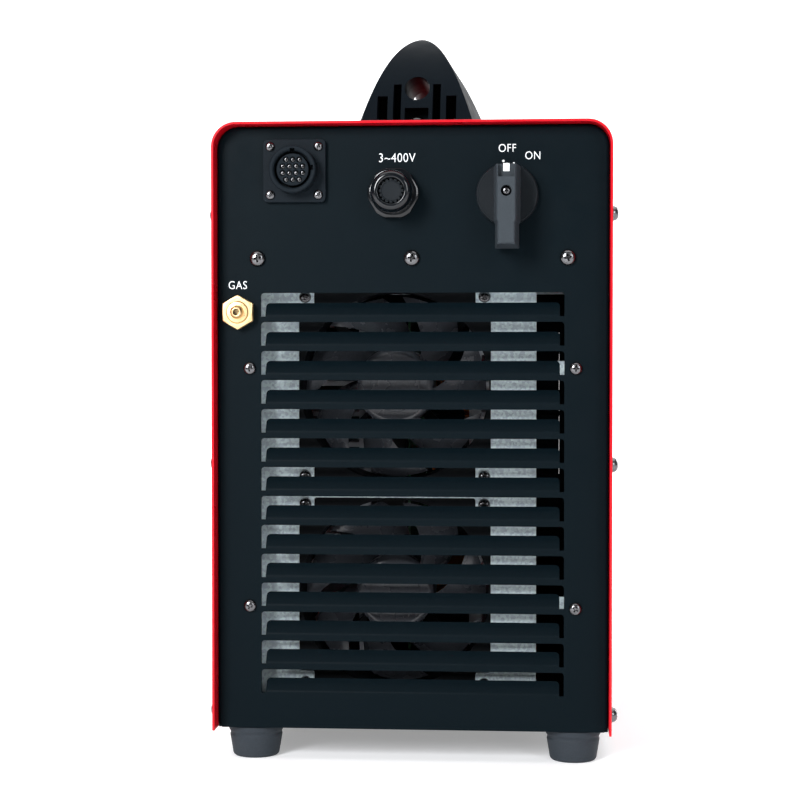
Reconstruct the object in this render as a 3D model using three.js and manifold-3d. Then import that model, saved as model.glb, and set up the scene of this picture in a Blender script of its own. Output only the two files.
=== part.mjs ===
// Plasma cutter unit: a three-phase inverter power source for plasma cutting.
// Millimetres, +Z up. The origin is under the middle of the unit, on the surface it stands on.
// The rear panel, with the mains entry, looks towards -Y; the control panel looks towards +Y.

import * as THREE from 'three';
import { mergeVertices } from 'three/addons/utils/BufferGeometryUtils.js';
import { RoundedBoxGeometry } from 'three/addons/geometries/RoundedBoxGeometry.js';
import Module from 'manifold-3d';

const wasm = await Module();
wasm.setup();

// ---------- driving dimensions ----------

const GAP = 0.3; // clearance kept between neighbouring pieces
const SHEET = 1.5; // steel sheet thickness

const CASE_WIDTH = 243.6;
const CASE_DEPTH = 480;
const CASE_BOTTOM = 20; // underside of the case, on top of the feet
const CASE_TOP = 392;
const CASE_CORNER = 15; // outer bend radius of the cover's two top corners
const PANEL_RECESS = 12; // how far each end panel sits inside the cover's edge
const PANEL_FLANGE = 15; // depth of an end panel's folded edge

const LOUVRE_HALF_WIDTH = 93;
const LOUVRE_HEIGHT = 14.45;
const LOUVRE_PITCH = 17.85;
const LOUVRE_FIRST_TOP = 288.3;
const LOUVRE_COUNT = 14;
const LOUVRE_CHAMFER = 2;
const TAB_BEND = 1.5; // inner bend radius of a louvre's tab
// A tab's height seen square to the panel, how far it leans in, and the slit left at each of its ends.
const REAR_TAB = { height: 8.5, lean: THREE.MathUtils.degToRad(36), slit: 2.75 };
const FRONT_TAB = { height: 14.1, lean: THREE.MathUtils.degToRad(16), slit: 0.4 };
const FRONT_LOUVRE_FIRST = 1; // the control panel has the same louvres, but fewer
const FRONT_LOUVRE_COUNT = 7;

const VENT_BANK_Y = [70, 145]; // two banks of outlet slots in each side of the cover
const VENT_ROWS = 8;
const VENT_FIRST_Z = 110;
const VENT_PITCH = 14;
const VENT_HALF_LENGTH = 30;
const VENT_HALF_HEIGHT = 2;

const PANEL_SCREW_X = [-95, 0, 95];
const PANEL_SCREW_Z = 309.4;
const SMALL_SCREW_X = 100;
const SMALL_SCREW_Z = [242, 95.5];
const COVER_SCREW_Y = 219;
const COVER_SCREW_Z = [336.6, 183, 29.4];
const M5_HOLE = 2.9;
const M4_HOLE = 2.4;
const M3_HOLE = 1.7;

const SOCKET_X = -71.8; // round remote-control socket
const SOCKET_Z = 362.8;
const SOCKET_FLANGE = 38.5;
const SOCKET_SCREW_SPACING = 29.5;
const SOCKET_PROUD = 13.7;
const CONTACT_ROWS = [3, 4, 4, 3];
const CONTACT_PITCH = 4.05;

const GLAND_X = -11; // mains lead gland
const GLAND_Z = 348.7;
const GLAND_HEX = 28.5;
const GLAND_THREAD = 12.5; // thread radius

const SWITCH_X = 58.2; // mains isolator
const SWITCH_Z = 347.6;
const SWITCH_DISC = 19; // radius of the knob's disc
const KNOB_REACH = 260; // the knob's lever is the unit's rearmost point

const GAS_X = -106.5; // gas inlet
const GAS_Z = 276.4;
const GAS_HEX = 18.3;

const FAN_X = -12.3;
const FAN_Z = [230.4, 101.1];
const FAN_SIZE = 127;
const FAN_DEPTH = 38;
const FAN_HOLE_SPACING = 112;
const FAN_BORE = 59;
const HUB_RADIUS = 24.5;
const BLADE_COUNT = 7;
const PLATE_Y = -206.5; // outer face of the galvanised fan plate
const PLATE_LEFT = -100.5;
const PLATE_RIGHT = 75.9;
const WINDOW_HALF = 60; // half the side of a fan window in that plate

const SHELF_Z = 301;
const SHELF_LIP_TOP = 320;
const PAN_WALL_TOP = 45;

const HANDLE_HEIGHT = 66;
const HANDLE_SPREAD = 3.02; // end outline: half width = this times the depth below the top ...
const HANDLE_POWER = 0.6; // ... to this power
const HANDLE_FLARE = 0.0026; // share by which a bracket widens for each millimetre towards the grip
const HANDLE_BORE = 7.9; // radius of the channel through each bracket
const HANDLE_BORE_Z = 419.6;
const HANDLE_END_Y = 190;
const HANDLE_SCREW_Y = 180;
const GRIP_HALF_LENGTH = 95;
const GRIP_HALF_WIDTH = 16;
const GRIP_HALF_HEIGHT = 13;

const FOOT_X = 99;
const FOOT_Y = 210;
const FOOT_PLACES = [[-FOOT_X, -FOOT_Y], [FOOT_X, -FOOT_Y], [-FOOT_X, FOOT_Y], [FOOT_X, FOOT_Y]];
const FOOT_TOP_RADIUS = 17.2;
const FOOT_BOTTOM_RADIUS = 14.4;

const VALVE_X = -98; // gas solenoid valve
const VALVE_Z = 270;
const VALVE_HALF_WIDTH = 12;
const VALVE_HALF_HEIGHT = 11;
const VALVE_REAR = -98;
const VALVE_FRONT = -62;
const BARB_RADIUS = 3.2; // every barb that a hose pushes on to
const BARB_LENGTH = 10;
const HOSE_OUTER = 5;
const HOSE_INNER = 3.6;

const SINK_FACE_X = 32; // the two heatsinks stand back to back with the boards between them
const SINK_FROM_Y = -150;
const SINK_TO_Y = 50;
const SINK_FOOT_Z = 44;
const SINK_TOP_Z = 284;
const SINK_BASE = 8;
const SINK_REACH = 42;
const FIN_COUNT = 12;
const FIN_PITCH = 20;
const FIN_THICKNESS = 3;
const BOARD_THICKNESS = 1.6;

const TORCH_X = -60;
const EARTH_X = 60;
const OUTLET_Z = 78;
const OUTLET_BARREL = 15; // radius of both sockets where they pass through the panel
const TORCH_REACH = 260; // the torch socket is the unit's foremost point
const CURRENT_KNOB_X = 28;
const ROCKER_X = [72, 98];
const CONTROL_Z = 352;
const DISPLAY_X = -55;
const ROCKER_RADIUS = 9.3;
const ROCKER_PIVOT_Y = 226;
const ROCKER_TILT = THREE.MathUtils.degToRad(8); // a rocker rests tilted this far

const REAR_FACE = -CASE_DEPTH / 2 + PANEL_RECESS;
const FRONT_FACE = -REAR_FACE;
const REAR_INSIDE = REAR_FACE + SHEET;
const PANEL_HALF_WIDTH = CASE_WIDTH / 2 - SHEET - GAP;
const PANEL_TOP = CASE_TOP - SHEET - GAP;

// ---------- finishes ----------

function finish(color, roughness, metalness) {
  return new THREE.MeshStandardMaterial({ color, roughness, metalness });
}

const RED_PAINT = finish(0xc8102e, 0.32, 0.0);
const BLACK_PAINT = finish(0x101a1f, 0.45, 0.0);
const GALVANISED = finish(0xa5afb2, 0.45, 0.8);
const BLACK_PLASTIC = finish(0x1c2024, 0.5, 0.0);
const GLOSSY_PLASTIC = finish(0x080a0c, 0.18, 0.0);
const GREY_PLASTIC = finish(0x54595d, 0.45, 0.0);
const HANDLE_PLASTIC = finish(0x25282c, 0.6, 0.0);
const RUBBER = finish(0x2d3237, 0.85, 0.0);
const BRASS = finish(0xd9b36c, 0.3, 0.9);
const NICKEL = finish(0xc0c4c8, 0.25, 1.0);
const ALUMINIUM = finish(0xb4b8bc, 0.4, 0.9);
const CAST_ALUMINIUM = finish(0x33383c, 0.5, 0.4);
const BOARD_GREEN = finish(0x1f5c36, 0.5, 0.0);
const CAPACITOR_SLEEVE = finish(0x1a2a55, 0.4, 0.0);
const FERRITE = finish(0x3a3a3c, 0.7, 0.2);
const COPPER = finish(0xb4692f, 0.35, 0.7);
const HOSE = finish(0x20242a, 0.6, 0.0);
const SMOKED_WINDOW = finish(0x14181c, 0.1, 0.0);

// ---------- solids ----------

// Shares the vertices, drops collapsed triangles and turns the faces outward.
function weld(geometry) {
  const bare = geometry.clone();
  bare.deleteAttribute('normal');
  bare.deleteAttribute('uv');
  const merged = mergeVertices(bare, 1e-4);
  const corner = (i) => new THREE.Vector3().fromBufferAttribute(merged.attributes.position, i);
  const kept = [];
  let volume = 0;
  for (let i = 0; i < merged.index.count; i += 3) {
    const [a, b, c] = [0, 1, 2].map((step) => merged.index.getX(i + step));
    if (a === b || b === c || c === a) continue;
    kept.push(a, b, c);
    volume += corner(a).dot(corner(b).cross(corner(c)));
  }
  merged.setIndex(volume < 0 ? kept.reverse() : kept);
  return merged;
}

function solid(geometry) {
  const welded = weld(geometry);
  const vertProperties = new Float32Array(welded.attributes.position.array);
  const triVerts = new Uint32Array(welded.index.array);
  return new wasm.Manifold(new wasm.Mesh({ numProp: 3, vertProperties, triVerts }));
}

function geometryOf(manifold) {
  const mesh = manifold.getMesh();
  const geometry = new THREE.BufferGeometry();
  geometry.setAttribute('position', new THREE.BufferAttribute(mesh.vertProperties, 3));
  geometry.setIndex(new THREE.BufferAttribute(mesh.triVerts, 1));
  return geometry;
}

const join = (...pieces) => geometryOf(pieces.map(solid).reduce((whole, piece) => whole.add(piece)));
const cut = (piece, ...tools) => geometryOf(
  tools.map(solid).reduce((left, tool) => left.subtract(tool), solid(piece)),
);
const common = (first, second) => geometryOf(solid(first).intersect(solid(second)));

function box(x0, x1, y0, y1, z0, z1) {
  const geometry = new THREE.BoxGeometry(x1 - x0, y1 - y0, z1 - z0);
  return geometry.translate((x0 + x1) / 2, (y0 + y1) / 2, (z0 + z1) / 2);
}

// A shape drawn in (X, Z), extruded along Y.
function prismY(shape, y0, y1, curveSegments = 6) {
  const geometry = new THREE.ExtrudeGeometry(shape, { depth: y1 - y0, bevelEnabled: false, curveSegments });
  return geometry.rotateX(Math.PI / 2).translate(0, y1, 0);
}

// A shape drawn in (Y, Z), extruded along X.
function prismX(shape, x0, x1, curveSegments = 6) {
  const geometry = new THREE.ExtrudeGeometry(shape, { depth: x1 - x0, bevelEnabled: false, curveSegments });
  return geometry.rotateX(Math.PI / 2).rotateZ(Math.PI / 2).translate(x0, 0, 0);
}

const rodY = (radius, y0, y1, x, z, sides = 24) => new THREE.CylinderGeometry(radius, radius, y1 - y0, sides)
  .translate(x, (y0 + y1) / 2, z);
const rodX = (radius, x0, x1, y, z, sides = 12) => new THREE.CylinderGeometry(radius, radius, x1 - x0, sides)
  .rotateZ(Math.PI / 2).translate((x0 + x1) / 2, y, z);
const rodZ = (radius, z0, z1, x, y, sides = 24) => new THREE.CylinderGeometry(radius, radius, z1 - z0, sides)
  .rotateX(Math.PI / 2).translate(x, y, (z0 + z1) / 2);

// A profile of [radius, y] points turned about the Y axis.
function turned(profile, segments = 24) {
  return new THREE.LatheGeometry(profile.map(([radius, y]) => new THREE.Vector2(radius, y)), segments);
}

const polygon = (points) => new THREE.Shape(points.map(([u, v]) => new THREE.Vector2(u, v)));

// Straight sides and foot, with rounded top corners.
function archShape(halfWidth, bottom, top, radius) {
  const shape = new THREE.Shape();
  shape.moveTo(-halfWidth, bottom);
  shape.lineTo(halfWidth, bottom);
  shape.lineTo(halfWidth, top - radius);
  shape.absarc(halfWidth - radius, top - radius, radius, 0, Math.PI / 2);
  shape.lineTo(radius - halfWidth, top);
  shape.absarc(radius - halfWidth, top - radius, radius, Math.PI / 2, Math.PI);
  shape.closePath();
  return shape;
}

// The same outline with its two top corners cut off straight.
function chamferedShape(halfWidth, bottom, top, chamfer) {
  return polygon([
    [-halfWidth, bottom], [halfWidth, bottom], [halfWidth, top - chamfer], [halfWidth - chamfer, top],
    [chamfer - halfWidth, top], [-halfWidth, top - chamfer],
  ]);
}

function roundedRectangle(halfWidth, halfHeight, radius, x = 0, z = 0) {
  const shape = new THREE.Shape();
  const corners = [[1, -1, -0.5], [1, 1, 0], [-1, 1, 0.5], [-1, -1, 1]];
  shape.moveTo(x - halfWidth + radius, z - halfHeight);
  for (const [side, level, turn] of corners) {
    const centre = [x + side * (halfWidth - radius), z + level * (halfHeight - radius)];
    shape.absarc(...centre, radius, turn * Math.PI, (turn + 0.5) * Math.PI);
  }
  return shape;
}

// A skin over rings of points that all have the same number of points, with both ends closed.
function loft(rings) {
  const around = rings[0].length;
  const points = rings.flat();
  const triangles = [];
  for (let ring = 0; ring + 1 < rings.length; ring += 1) {
    for (let i = 0; i < around; i += 1) {
      const a = ring * around + i;
      const b = ring * around + (i + 1) % around;
      triangles.push(a, b, b + around, a, b + around, a + around);
    }
  }
  const last = (rings.length - 1) * around;
  for (let i = 1; i + 1 < around; i += 1) {
    triangles.push(0, i + 1, i, last, last + i, last + i + 1);
  }
  const geometry = new THREE.BufferGeometry();
  geometry.setAttribute('position', new THREE.Float32BufferAttribute(points.flat(), 3));
  geometry.setIndex(triangles);
  return geometry;
}

// ---------- assembly ----------

const unit = new THREE.Group();

function part(name, geometry, material, parent = unit) {
  const mesh = new THREE.Mesh(weld(geometry), material);
  mesh.name = name;
  parent.add(mesh);
  return mesh;
}

function groupAt(x, y, z) {
  const group = new THREE.Group();
  group.position.set(x, y, z);
  unit.add(group);
  return group;
}

// ---------- sheet metal ----------

function coverGeometry() {
  const outer = archShape(CASE_WIDTH / 2, CASE_BOTTOM, CASE_TOP, CASE_CORNER);
  const inner = archShape(CASE_WIDTH / 2 - SHEET, 0, CASE_TOP - SHEET, CASE_CORNER - SHEET);
  const tools = [prismY(inner, -CASE_DEPTH, CASE_DEPTH, 4)];
  for (const z of COVER_SCREW_Z) {
    for (const y of [-COVER_SCREW_Y, COVER_SCREW_Y]) {
      tools.push(rodX(M5_HOLE, -CASE_WIDTH, CASE_WIDTH, y, z, 8));
    }
  }
  for (const end of [-1, 1]) {
    tools.push(rodZ(M5_HOLE, CASE_TOP - 5, CASE_TOP + 5, 0, end * HANDLE_SCREW_Y, 12));
  }
  for (const bankY of VENT_BANK_Y) {
    for (let row = 0; row < VENT_ROWS; row += 1) {
      const slotZ = VENT_FIRST_Z + row * VENT_PITCH;
      tools.push(box(
        -CASE_WIDTH, CASE_WIDTH, bankY - VENT_HALF_LENGTH, bankY + VENT_HALF_LENGTH,
        slotZ - VENT_HALF_HEIGHT, slotZ + VENT_HALF_HEIGHT,
      ));
    }
  }
  return cut(prismY(outer, -CASE_DEPTH / 2, CASE_DEPTH / 2, 4), ...tools);
}

// One louvre: its opening, and the tab that leans in from the opening's lower edge.
function louvreOpening(top) {
  const shape = chamferedShape(LOUVRE_HALF_WIDTH, top - LOUVRE_HEIGHT, top, LOUVRE_CHAMFER);
  return prismY(shape, REAR_FACE - 1, REAR_INSIDE + 1);
}

function louvreTab(top, { height, lean, slit }) {
  const foot = top - LOUVRE_HEIGHT;
  const bendY = REAR_INSIDE + TAB_BEND;
  const outerRadius = TAB_BEND + SHEET;
  const straight = (height - outerRadius * Math.sin(lean)) / Math.cos(lean);
  const sheetSide = (radius) => [0, 1].map((share) => [
    bendY - radius * Math.cos(share * lean), foot + radius * Math.sin(share * lean),
  ]);
  const tipOf = ([y, z]) => [y + straight * Math.sin(lean), z + straight * Math.cos(lean)];
  const outerSide = sheetSide(outerRadius);
  const innerSide = sheetSide(TAB_BEND);
  const profile = [
    [REAR_FACE, foot - 1], ...outerSide, tipOf(outerSide[1]),
    tipOf(innerSide[1]), ...innerSide.reverse(), [REAR_INSIDE, foot - 1],
  ];
  const halfWidth = LOUVRE_HALF_WIDTH - slit;
  const blade = prismX(polygon(profile), -halfWidth, halfWidth);
  const outline = chamferedShape(halfWidth, foot - 1, foot + height, LOUVRE_CHAMFER);
  return common(blade, prismY(outline, REAR_FACE - 1, REAR_FACE + PANEL_FLANGE));
}

// An end panel in the rear position: a tray whose edges fold inward, with a column of louvres.
function louvredPanel(firstLouvre, louvreCount, tab) {
  const flangeEnd = REAR_FACE + PANEL_FLANGE;
  const outer = archShape(PANEL_HALF_WIDTH, CASE_BOTTOM, PANEL_TOP, CASE_CORNER - SHEET - GAP);
  const inner = archShape(PANEL_HALF_WIDTH - SHEET, 0, PANEL_TOP - SHEET, CASE_CORNER - 2 * SHEET - GAP);
  const flangeFoot = CASE_BOTTOM + SHEET + 2 * GAP;
  const topOf = (i) => LOUVRE_FIRST_TOP - (firstLouvre + i) * LOUVRE_PITCH;
  const tops = Array.from({ length: louvreCount }, (_, i) => topOf(i));
  const tray = cut(
    prismY(outer, REAR_FACE, flangeEnd, 4),
    prismY(inner, REAR_INSIDE, flangeEnd + 5, 4),
    box(-CASE_WIDTH, CASE_WIDTH, REAR_INSIDE, flangeEnd + 5, 0, flangeFoot),
    ...tops.map(louvreOpening),
    ...COVER_SCREW_Z.map((z) => rodX(M5_HOLE, -CASE_WIDTH, CASE_WIDTH, -COVER_SCREW_Y, z, 8)),
  );
  return join(tray, ...tops.map((top) => louvreTab(top, tab)));
}

function rearPanelGeometry() {
  const hole = (radius, x, z, sides = 12) => rodY(radius, REAR_FACE - 1, REAR_INSIDE + 1, x, z, sides);
  const socketScrews = [-1, 1].flatMap((side) => [-1, 1].map((level) => hole(
    M3_HOLE, SOCKET_X + side * SOCKET_SCREW_SPACING / 2, SOCKET_Z + level * SOCKET_SCREW_SPACING / 2, 8,
  )));
  return cut(
    louvredPanel(0, LOUVRE_COUNT, REAR_TAB),
    ...PANEL_SCREW_X.map((x) => hole(M5_HOLE, x, PANEL_SCREW_Z)),
    ...SMALL_SCREW_Z.flatMap((z) => [-1, 1].map((side) => hole(M4_HOLE, side * SMALL_SCREW_X, z))),
    ...socketScrews,
    hole(13.6, SOCKET_X, SOCKET_Z, 24),
    hole(GLAND_THREAD + 2 * GAP, GLAND_X, GLAND_Z, 24),
    hole(6, SWITCH_X, SWITCH_Z, 16),
    hole(6.5 + GAP, GAS_X, GAS_Z, 16),
  );
}

function frontPanelGeometry() {
  const sheet = [FRONT_FACE - SHEET - 1, FRONT_FACE + 1];
  const hole = (radius, x, z, sides = 20) => rodY(radius, ...sheet, x, z, sides);
  const opening = (halfWidth, halfHeight, x, z) => prismY(
    roundedRectangle(halfWidth, halfHeight, 1, x, z), ...sheet, 2,
  );
  return cut(
    louvredPanel(FRONT_LOUVRE_FIRST, FRONT_LOUVRE_COUNT, FRONT_TAB).rotateZ(Math.PI),
    hole(OUTLET_BARREL + 2 * GAP, TORCH_X, OUTLET_Z),
    hole(OUTLET_BARREL + 2 * GAP, EARTH_X, OUTLET_Z),
    hole(5, CURRENT_KNOB_X, CONTROL_Z, 16),
    opening(36, 15, DISPLAY_X, CONTROL_Z),
    ...ROCKER_X.map((x) => opening(7.7, 11.7, x, CONTROL_Z)),
    ...PANEL_SCREW_X.map((x) => hole(M5_HOLE, x, PANEL_SCREW_Z, 12)),
  );
}

function basePanGeometry() {
  const reach = FRONT_FACE - SHEET - GAP;
  const wallReach = FRONT_FACE - PANEL_FLANGE - GAP;
  const walls = [-1, 1].map((side) => {
    const outside = side * PANEL_HALF_WIDTH;
    const inside = outside - side * SHEET;
    const x = [outside, inside].sort((a, b) => a - b);
    return box(...x, -wallReach, wallReach, CASE_BOTTOM, PAN_WALL_TOP);
  });
  const floor = box(-PANEL_HALF_WIDTH, PANEL_HALF_WIDTH, -reach, reach, CASE_BOTTOM, CASE_BOTTOM + SHEET);
  const footHoles = FOOT_PLACES.map(([x, y]) => rodZ(M5_HOLE, 0, CASE_BOTTOM + 5, x, y, 12));
  return cut(join(floor, ...walls), ...footHoles);
}

// The galvanised plate that carries both fans. Four arms reach out to the rear panel.
function fanPlateGeometry() {
  const plateBack = PLATE_Y + SHEET;
  const sheetAt = (x0, x1, z0, z1) => box(x0, x1, PLATE_Y, plateBack, z0, z1);
  const windows = FAN_Z.flatMap((z) => {
    const corners = [-1, 1].flatMap((side) => [-1, 1].map((level) => {
      const tabX = [WINDOW_HALF + 1, WINDOW_HALF - 9.5].map((reach) => FAN_X + side * reach);
      const tabZ = [WINDOW_HALF + 1, WINDOW_HALF - 11].map((reach) => z + level * reach);
      const inOrder = (pair) => pair.sort((a, b) => a - b);
      return sheetAt(...inOrder(tabX), ...inOrder(tabZ));
    }));
    const opening = prismY(
      roundedRectangle(WINDOW_HALF, WINDOW_HALF, 1.5, FAN_X, z), PLATE_Y - 1, plateBack + 1, 1,
    );
    return [cut(opening, ...corners)];
  });
  const armFrom = SMALL_SCREW_X + 8;
  const arms = SMALL_SCREW_Z.flatMap((z) => [-1, 1].map((side) => {
    const place = (near, far) => [side * near, side * far].sort((a, b) => a - b);
    const [z0, z1] = [z - 4.5, z + 4.5];
    const strip = sheetAt(...place(side < 0 ? -PLATE_LEFT - 5 : PLATE_RIGHT - 5, armFrom), z0, z1);
    const web = box(...place(armFrom - SHEET, armFrom), REAR_INSIDE + GAP, plateBack, z0, z1);
    const sole = box(...place(armFrom - 14, armFrom), REAR_INSIDE + GAP, REAR_INSIDE + GAP + SHEET, z0, z1);
    return join(strip, web, sole);
  }));
  const reach = FAN_HOLE_SPACING / 2;
  const screwHoles = FAN_Z.flatMap((z) => [-1, 1].flatMap((side) => [-1, 1].map((level) => rodY(
    M4_HOLE, PLATE_Y - 1, plateBack + 1, FAN_X + side * reach, z + level * reach, 6,
  ))));
  const armHoles = SMALL_SCREW_Z.flatMap((z) => [-1, 1].map((side) => rodY(
    M4_HOLE, REAR_INSIDE, REAR_INSIDE + 4, side * SMALL_SCREW_X, z, 8,
  )));
  const plate = cut(sheetAt(PLATE_LEFT, PLATE_RIGHT, 30, 299), ...windows, ...screwHoles);
  return cut(join(plate, ...arms), ...armHoles);
}

// The shelf between the air duct below and the electronics above, folded up at both ends.
function shelfGeometry() {
  const reach = FRONT_FACE - SHEET - GAP;
  const halfWidth = PANEL_HALF_WIDTH - SHEET - 2 * GAP;
  const rearLip = box(-halfWidth, halfWidth, -reach, -reach + SHEET, SHELF_Z, SHELF_LIP_TOP);
  const frontLip = box(-halfWidth, halfWidth, reach - SHEET, reach, SHELF_Z, SHELF_LIP_TOP);
  const deck = box(-halfWidth, halfWidth, -reach, reach, SHELF_Z, SHELF_Z + SHEET);
  const holes = PANEL_SCREW_X.map((x) => rodY(M5_HOLE, -CASE_DEPTH, CASE_DEPTH, x, PANEL_SCREW_Z, 12));
  return cut(join(deck, rearLip, frontLip), ...holes);
}

// ---------- handle ----------

// Widens a geometry evenly along Y, from no change at y = start.
function flared(geometry, start, gain) {
  const place = geometry.getAttribute('position');
  for (let i = 0; i < place.count; i += 1) {
    place.setX(i, place.getX(i) * (1 + gain * (place.getY(i) - start)));
  }
  return geometry;
}

// The end bracket in the rear position: an arch seen from the end, a leaning boot seen from the side.
function bracketGeometry() {
  const base = CASE_TOP + GAP;
  const top = CASE_TOP + HANDLE_HEIGHT;
  const steps = 9;
  const side = Array.from({ length: steps + 1 }, (_, i) => {
    const halfWidth = HANDLE_SPREAD * (top - base) ** HANDLE_POWER * (1 - i / steps);
    return [halfWidth, top - (halfWidth / HANDLE_SPREAD) ** (1 / HANDLE_POWER)];
  });
  const outline = [...side, ...side.slice(0, -1).reverse().map(([x, z]) => [-x, z])];
  const endPrism = prismY(polygon(outline), -HANDLE_END_Y - 1, -GRIP_HALF_LENGTH - GAP);

  const boot = new THREE.Shape();
  boot.moveTo(-HANDLE_END_Y, base);
  boot.quadraticCurveTo(-HANDLE_END_Y + 14, top - 14, -128, top + 1);
  boot.lineTo(-GRIP_HALF_LENGTH - GAP, top + 1);
  boot.lineTo(-GRIP_HALF_LENGTH - GAP, top - 2 * GRIP_HALF_HEIGHT);
  boot.quadraticCurveTo(-108, top - 30, -110, base);
  boot.closePath();
  const body = flared(common(endPrism, prismX(boot, -60, 60, 8)), -HANDLE_END_Y, HANDLE_FLARE);

  const outside = -HANDLE_END_Y - 5;
  const groove = (x0, x1, height, depth) => box(
    x0, x1, outside, -HANDLE_END_Y + depth, base - 1, base + height,
  );
  return cut(
    body,
    rodY(HANDLE_BORE, outside, -80, 0, HANDLE_BORE_Z, 20),
    groove(10, 15, 30, 34),
    groove(-15, -10, 30, 34),
    groove(18.5, 25, 22, 30),
    groove(-25, -18.5, 22, 30),
    box(-7.5, 7.5, outside, -HANDLE_END_Y + 22, base + 3, base + 14),
    rodZ(M5_HOLE, base - 1, base + 5, 0, -HANDLE_SCREW_Y, 12),
  );
}

function gripGeometry() {
  const outline = new THREE.Shape();
  const middle = CASE_TOP + HANDLE_HEIGHT - GRIP_HALF_HEIGHT;
  outline.absellipse(0, middle, GRIP_HALF_WIDTH, GRIP_HALF_HEIGHT, 0, 2 * Math.PI);
  return prismY(outline, -GRIP_HALF_LENGTH, GRIP_HALF_LENGTH, 10);
}

// ---------- feet ----------

function footGeometry() {
  const top = CASE_BOTTOM - GAP;
  const screwRecess = 5.5;
  const profile = [
    [screwRecess, 0], [FOOT_BOTTOM_RADIUS - 1.2, 0], [FOOT_BOTTOM_RADIUS, 1.6],
    [FOOT_TOP_RADIUS, top - 0.6], [FOOT_TOP_RADIUS - 0.6, top], [M5_HOLE, top],
    [M5_HOLE, 10], [screwRecess, 10], [screwRecess, 0],
  ];
  return turned(profile, 16).rotateX(Math.PI / 2);
}

// ---------- fans ----------

// A fan is drawn about its own centre, with the air side that faces the rear panel at -Y.
function fanFrameGeometry() {
  const half = FAN_DEPTH / 2;
  const corner = (side, level) => rodY(
    2.3, -half - 1, half + 1, side * FAN_HOLE_SPACING / 2, level * FAN_HOLE_SPACING / 2, 6,
  );
  const block = cut(
    prismY(roundedRectangle(FAN_SIZE / 2, FAN_SIZE / 2, 9), -half, half, 1),
    rodY(FAN_BORE, -half - 1, half + 1, 0, 0, 24),
    corner(-1, -1),
    corner(-1, 1),
    corner(1, -1),
    corner(1, 1),
  );
  const struts = [45, 135, 225, 315].map((degrees) => box(-3, 3, half - 3, half, 20, FAN_BORE + 2)
    .rotateY(THREE.MathUtils.degToRad(degrees)));
  return join(block, rodY(23, half - 3, half, 0, 0, 16), ...struts);
}

const fanMotorGeometry = () => turned([[0, -14], [20, -14], [22, -12], [22, 15.7], [0, 15.7]], 16);

function bladeGeometry(phase) {
  const stations = [HUB_RADIUS - 1, 40, 56.5];
  const rings = stations.map((radius) => {
    const share = (radius - stations[0]) / (stations[2] - stations[0]);
    const lead = 50 + 38 * share; // angle of the edge nearer the rear panel
    const width = 34 + 8 * share;
    const reach = 12.5 - 4.5 * share; // half the blade's depth along the axis
    const chord = [0, 1].map((along) => {
      const angle = THREE.MathUtils.degToRad(phase + lead - width * along);
      const axial = -3 + (2 * along - 1) * reach;
      return [radius * Math.cos(angle), axial, radius * Math.sin(angle)];
    });
    const thick = 1.6;
    return [...chord, ...chord.map(([x, y, z]) => [x, y + thick, z]).reverse()];
  });
  return loft(rings);
}

function impellerGeometry() {
  const cup = turned([
    [0, -16], [HUB_RADIUS - 3, -16], [HUB_RADIUS, -13.5],
    [HUB_RADIUS, 12], [HUB_RADIUS - 1.3, 12], [HUB_RADIUS - 1.3, -14.4], [0, -14.4],
  ], 16);
  const blades = Array.from({ length: BLADE_COUNT }, (_, i) => bladeGeometry(i * 360 / BLADE_COUNT));
  return join(cup, ...blades);
}

// ---------- rear fittings ----------

function socketShellGeometry() {
  const back = REAR_FACE - GAP;
  const front = REAR_FACE - SOCKET_PROUD;
  const at = (radius, y0, y1, sides = 20) => rodY(radius, y0, y1, SOCKET_X, SOCKET_Z, sides);
  const flangeHalf = SOCKET_FLANGE / 2;
  const flange = prismY(roundedRectangle(flangeHalf, flangeHalf, 2.5, SOCKET_X, SOCKET_Z), back - 3, back, 2);
  const screwHoles = [-1, 1].flatMap((side) => [-1, 1].map((level) => rodY(
    M3_HOLE, back - 4, back + 1,
    SOCKET_X + side * SOCKET_SCREW_SPACING / 2, SOCKET_Z + level * SOCKET_SCREW_SPACING / 2, 8,
  )));
  const keyways = [90, 5, 215, 250].map((degrees) => box(9.5, 12.6, front - 1, front + 9, -1.5, 1.5)
    .rotateY(THREE.MathUtils.degToRad(-degrees)).translate(SOCKET_X, 0, SOCKET_Z));
  return cut(
    join(flange, at(14.4, front, back), at(13.2, back - 1, -208)),
    at(11.3, front - 1, front + 10),
    at(9.75 + GAP, front - 1, -200),
    ...keyways,
    ...screwHoles,
  );
}

function socketInsertGeometry() {
  const front = REAR_FACE - SOCKET_PROUD + 2.5;
  const contacts = CONTACT_ROWS.flatMap((count, row) => Array.from({ length: count }, (_, i) => [
    SOCKET_X + (i - (count - 1) / 2) * CONTACT_PITCH,
    SOCKET_Z + ((CONTACT_ROWS.length - 1) / 2 - row) * CONTACT_PITCH,
  ]));
  return cut(
    rodY(9.75, front, -206, SOCKET_X, SOCKET_Z, 20),
    ...contacts.map(([x, z]) => rodY(1.6, front - 1, front + 8, x, z, 6)),
  );
}

const glandAt = (geometry) => geometry.translate(GLAND_X, 0, GLAND_Z);
const hexagonRod = (acrossFlats, y0, y1) => rodY(acrossFlats / Math.sqrt(3), y0, y1, 0, 0, 6);

function glandBodyGeometry() {
  const seat = REAR_FACE - GAP;
  const hexagon = common(
    hexagonRod(GLAND_HEX, seat - 7, seat).rotateY(Math.PI / 6),
    turned([[0, seat - 7], [14, seat - 7], [16.2, seat - 5.5], [16.2, seat], [0, seat]], 24),
  );
  const whole = join(
    hexagon,
    rodY(GLAND_THREAD, seat - 1, -214, 0, 0, 20),
    rodY(10.4, seat - 14, seat - 6, 0, 0, 20),
  );
  return glandAt(cut(whole, rodY(8, -260, -200, 0, 0, 20)));
}

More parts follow.
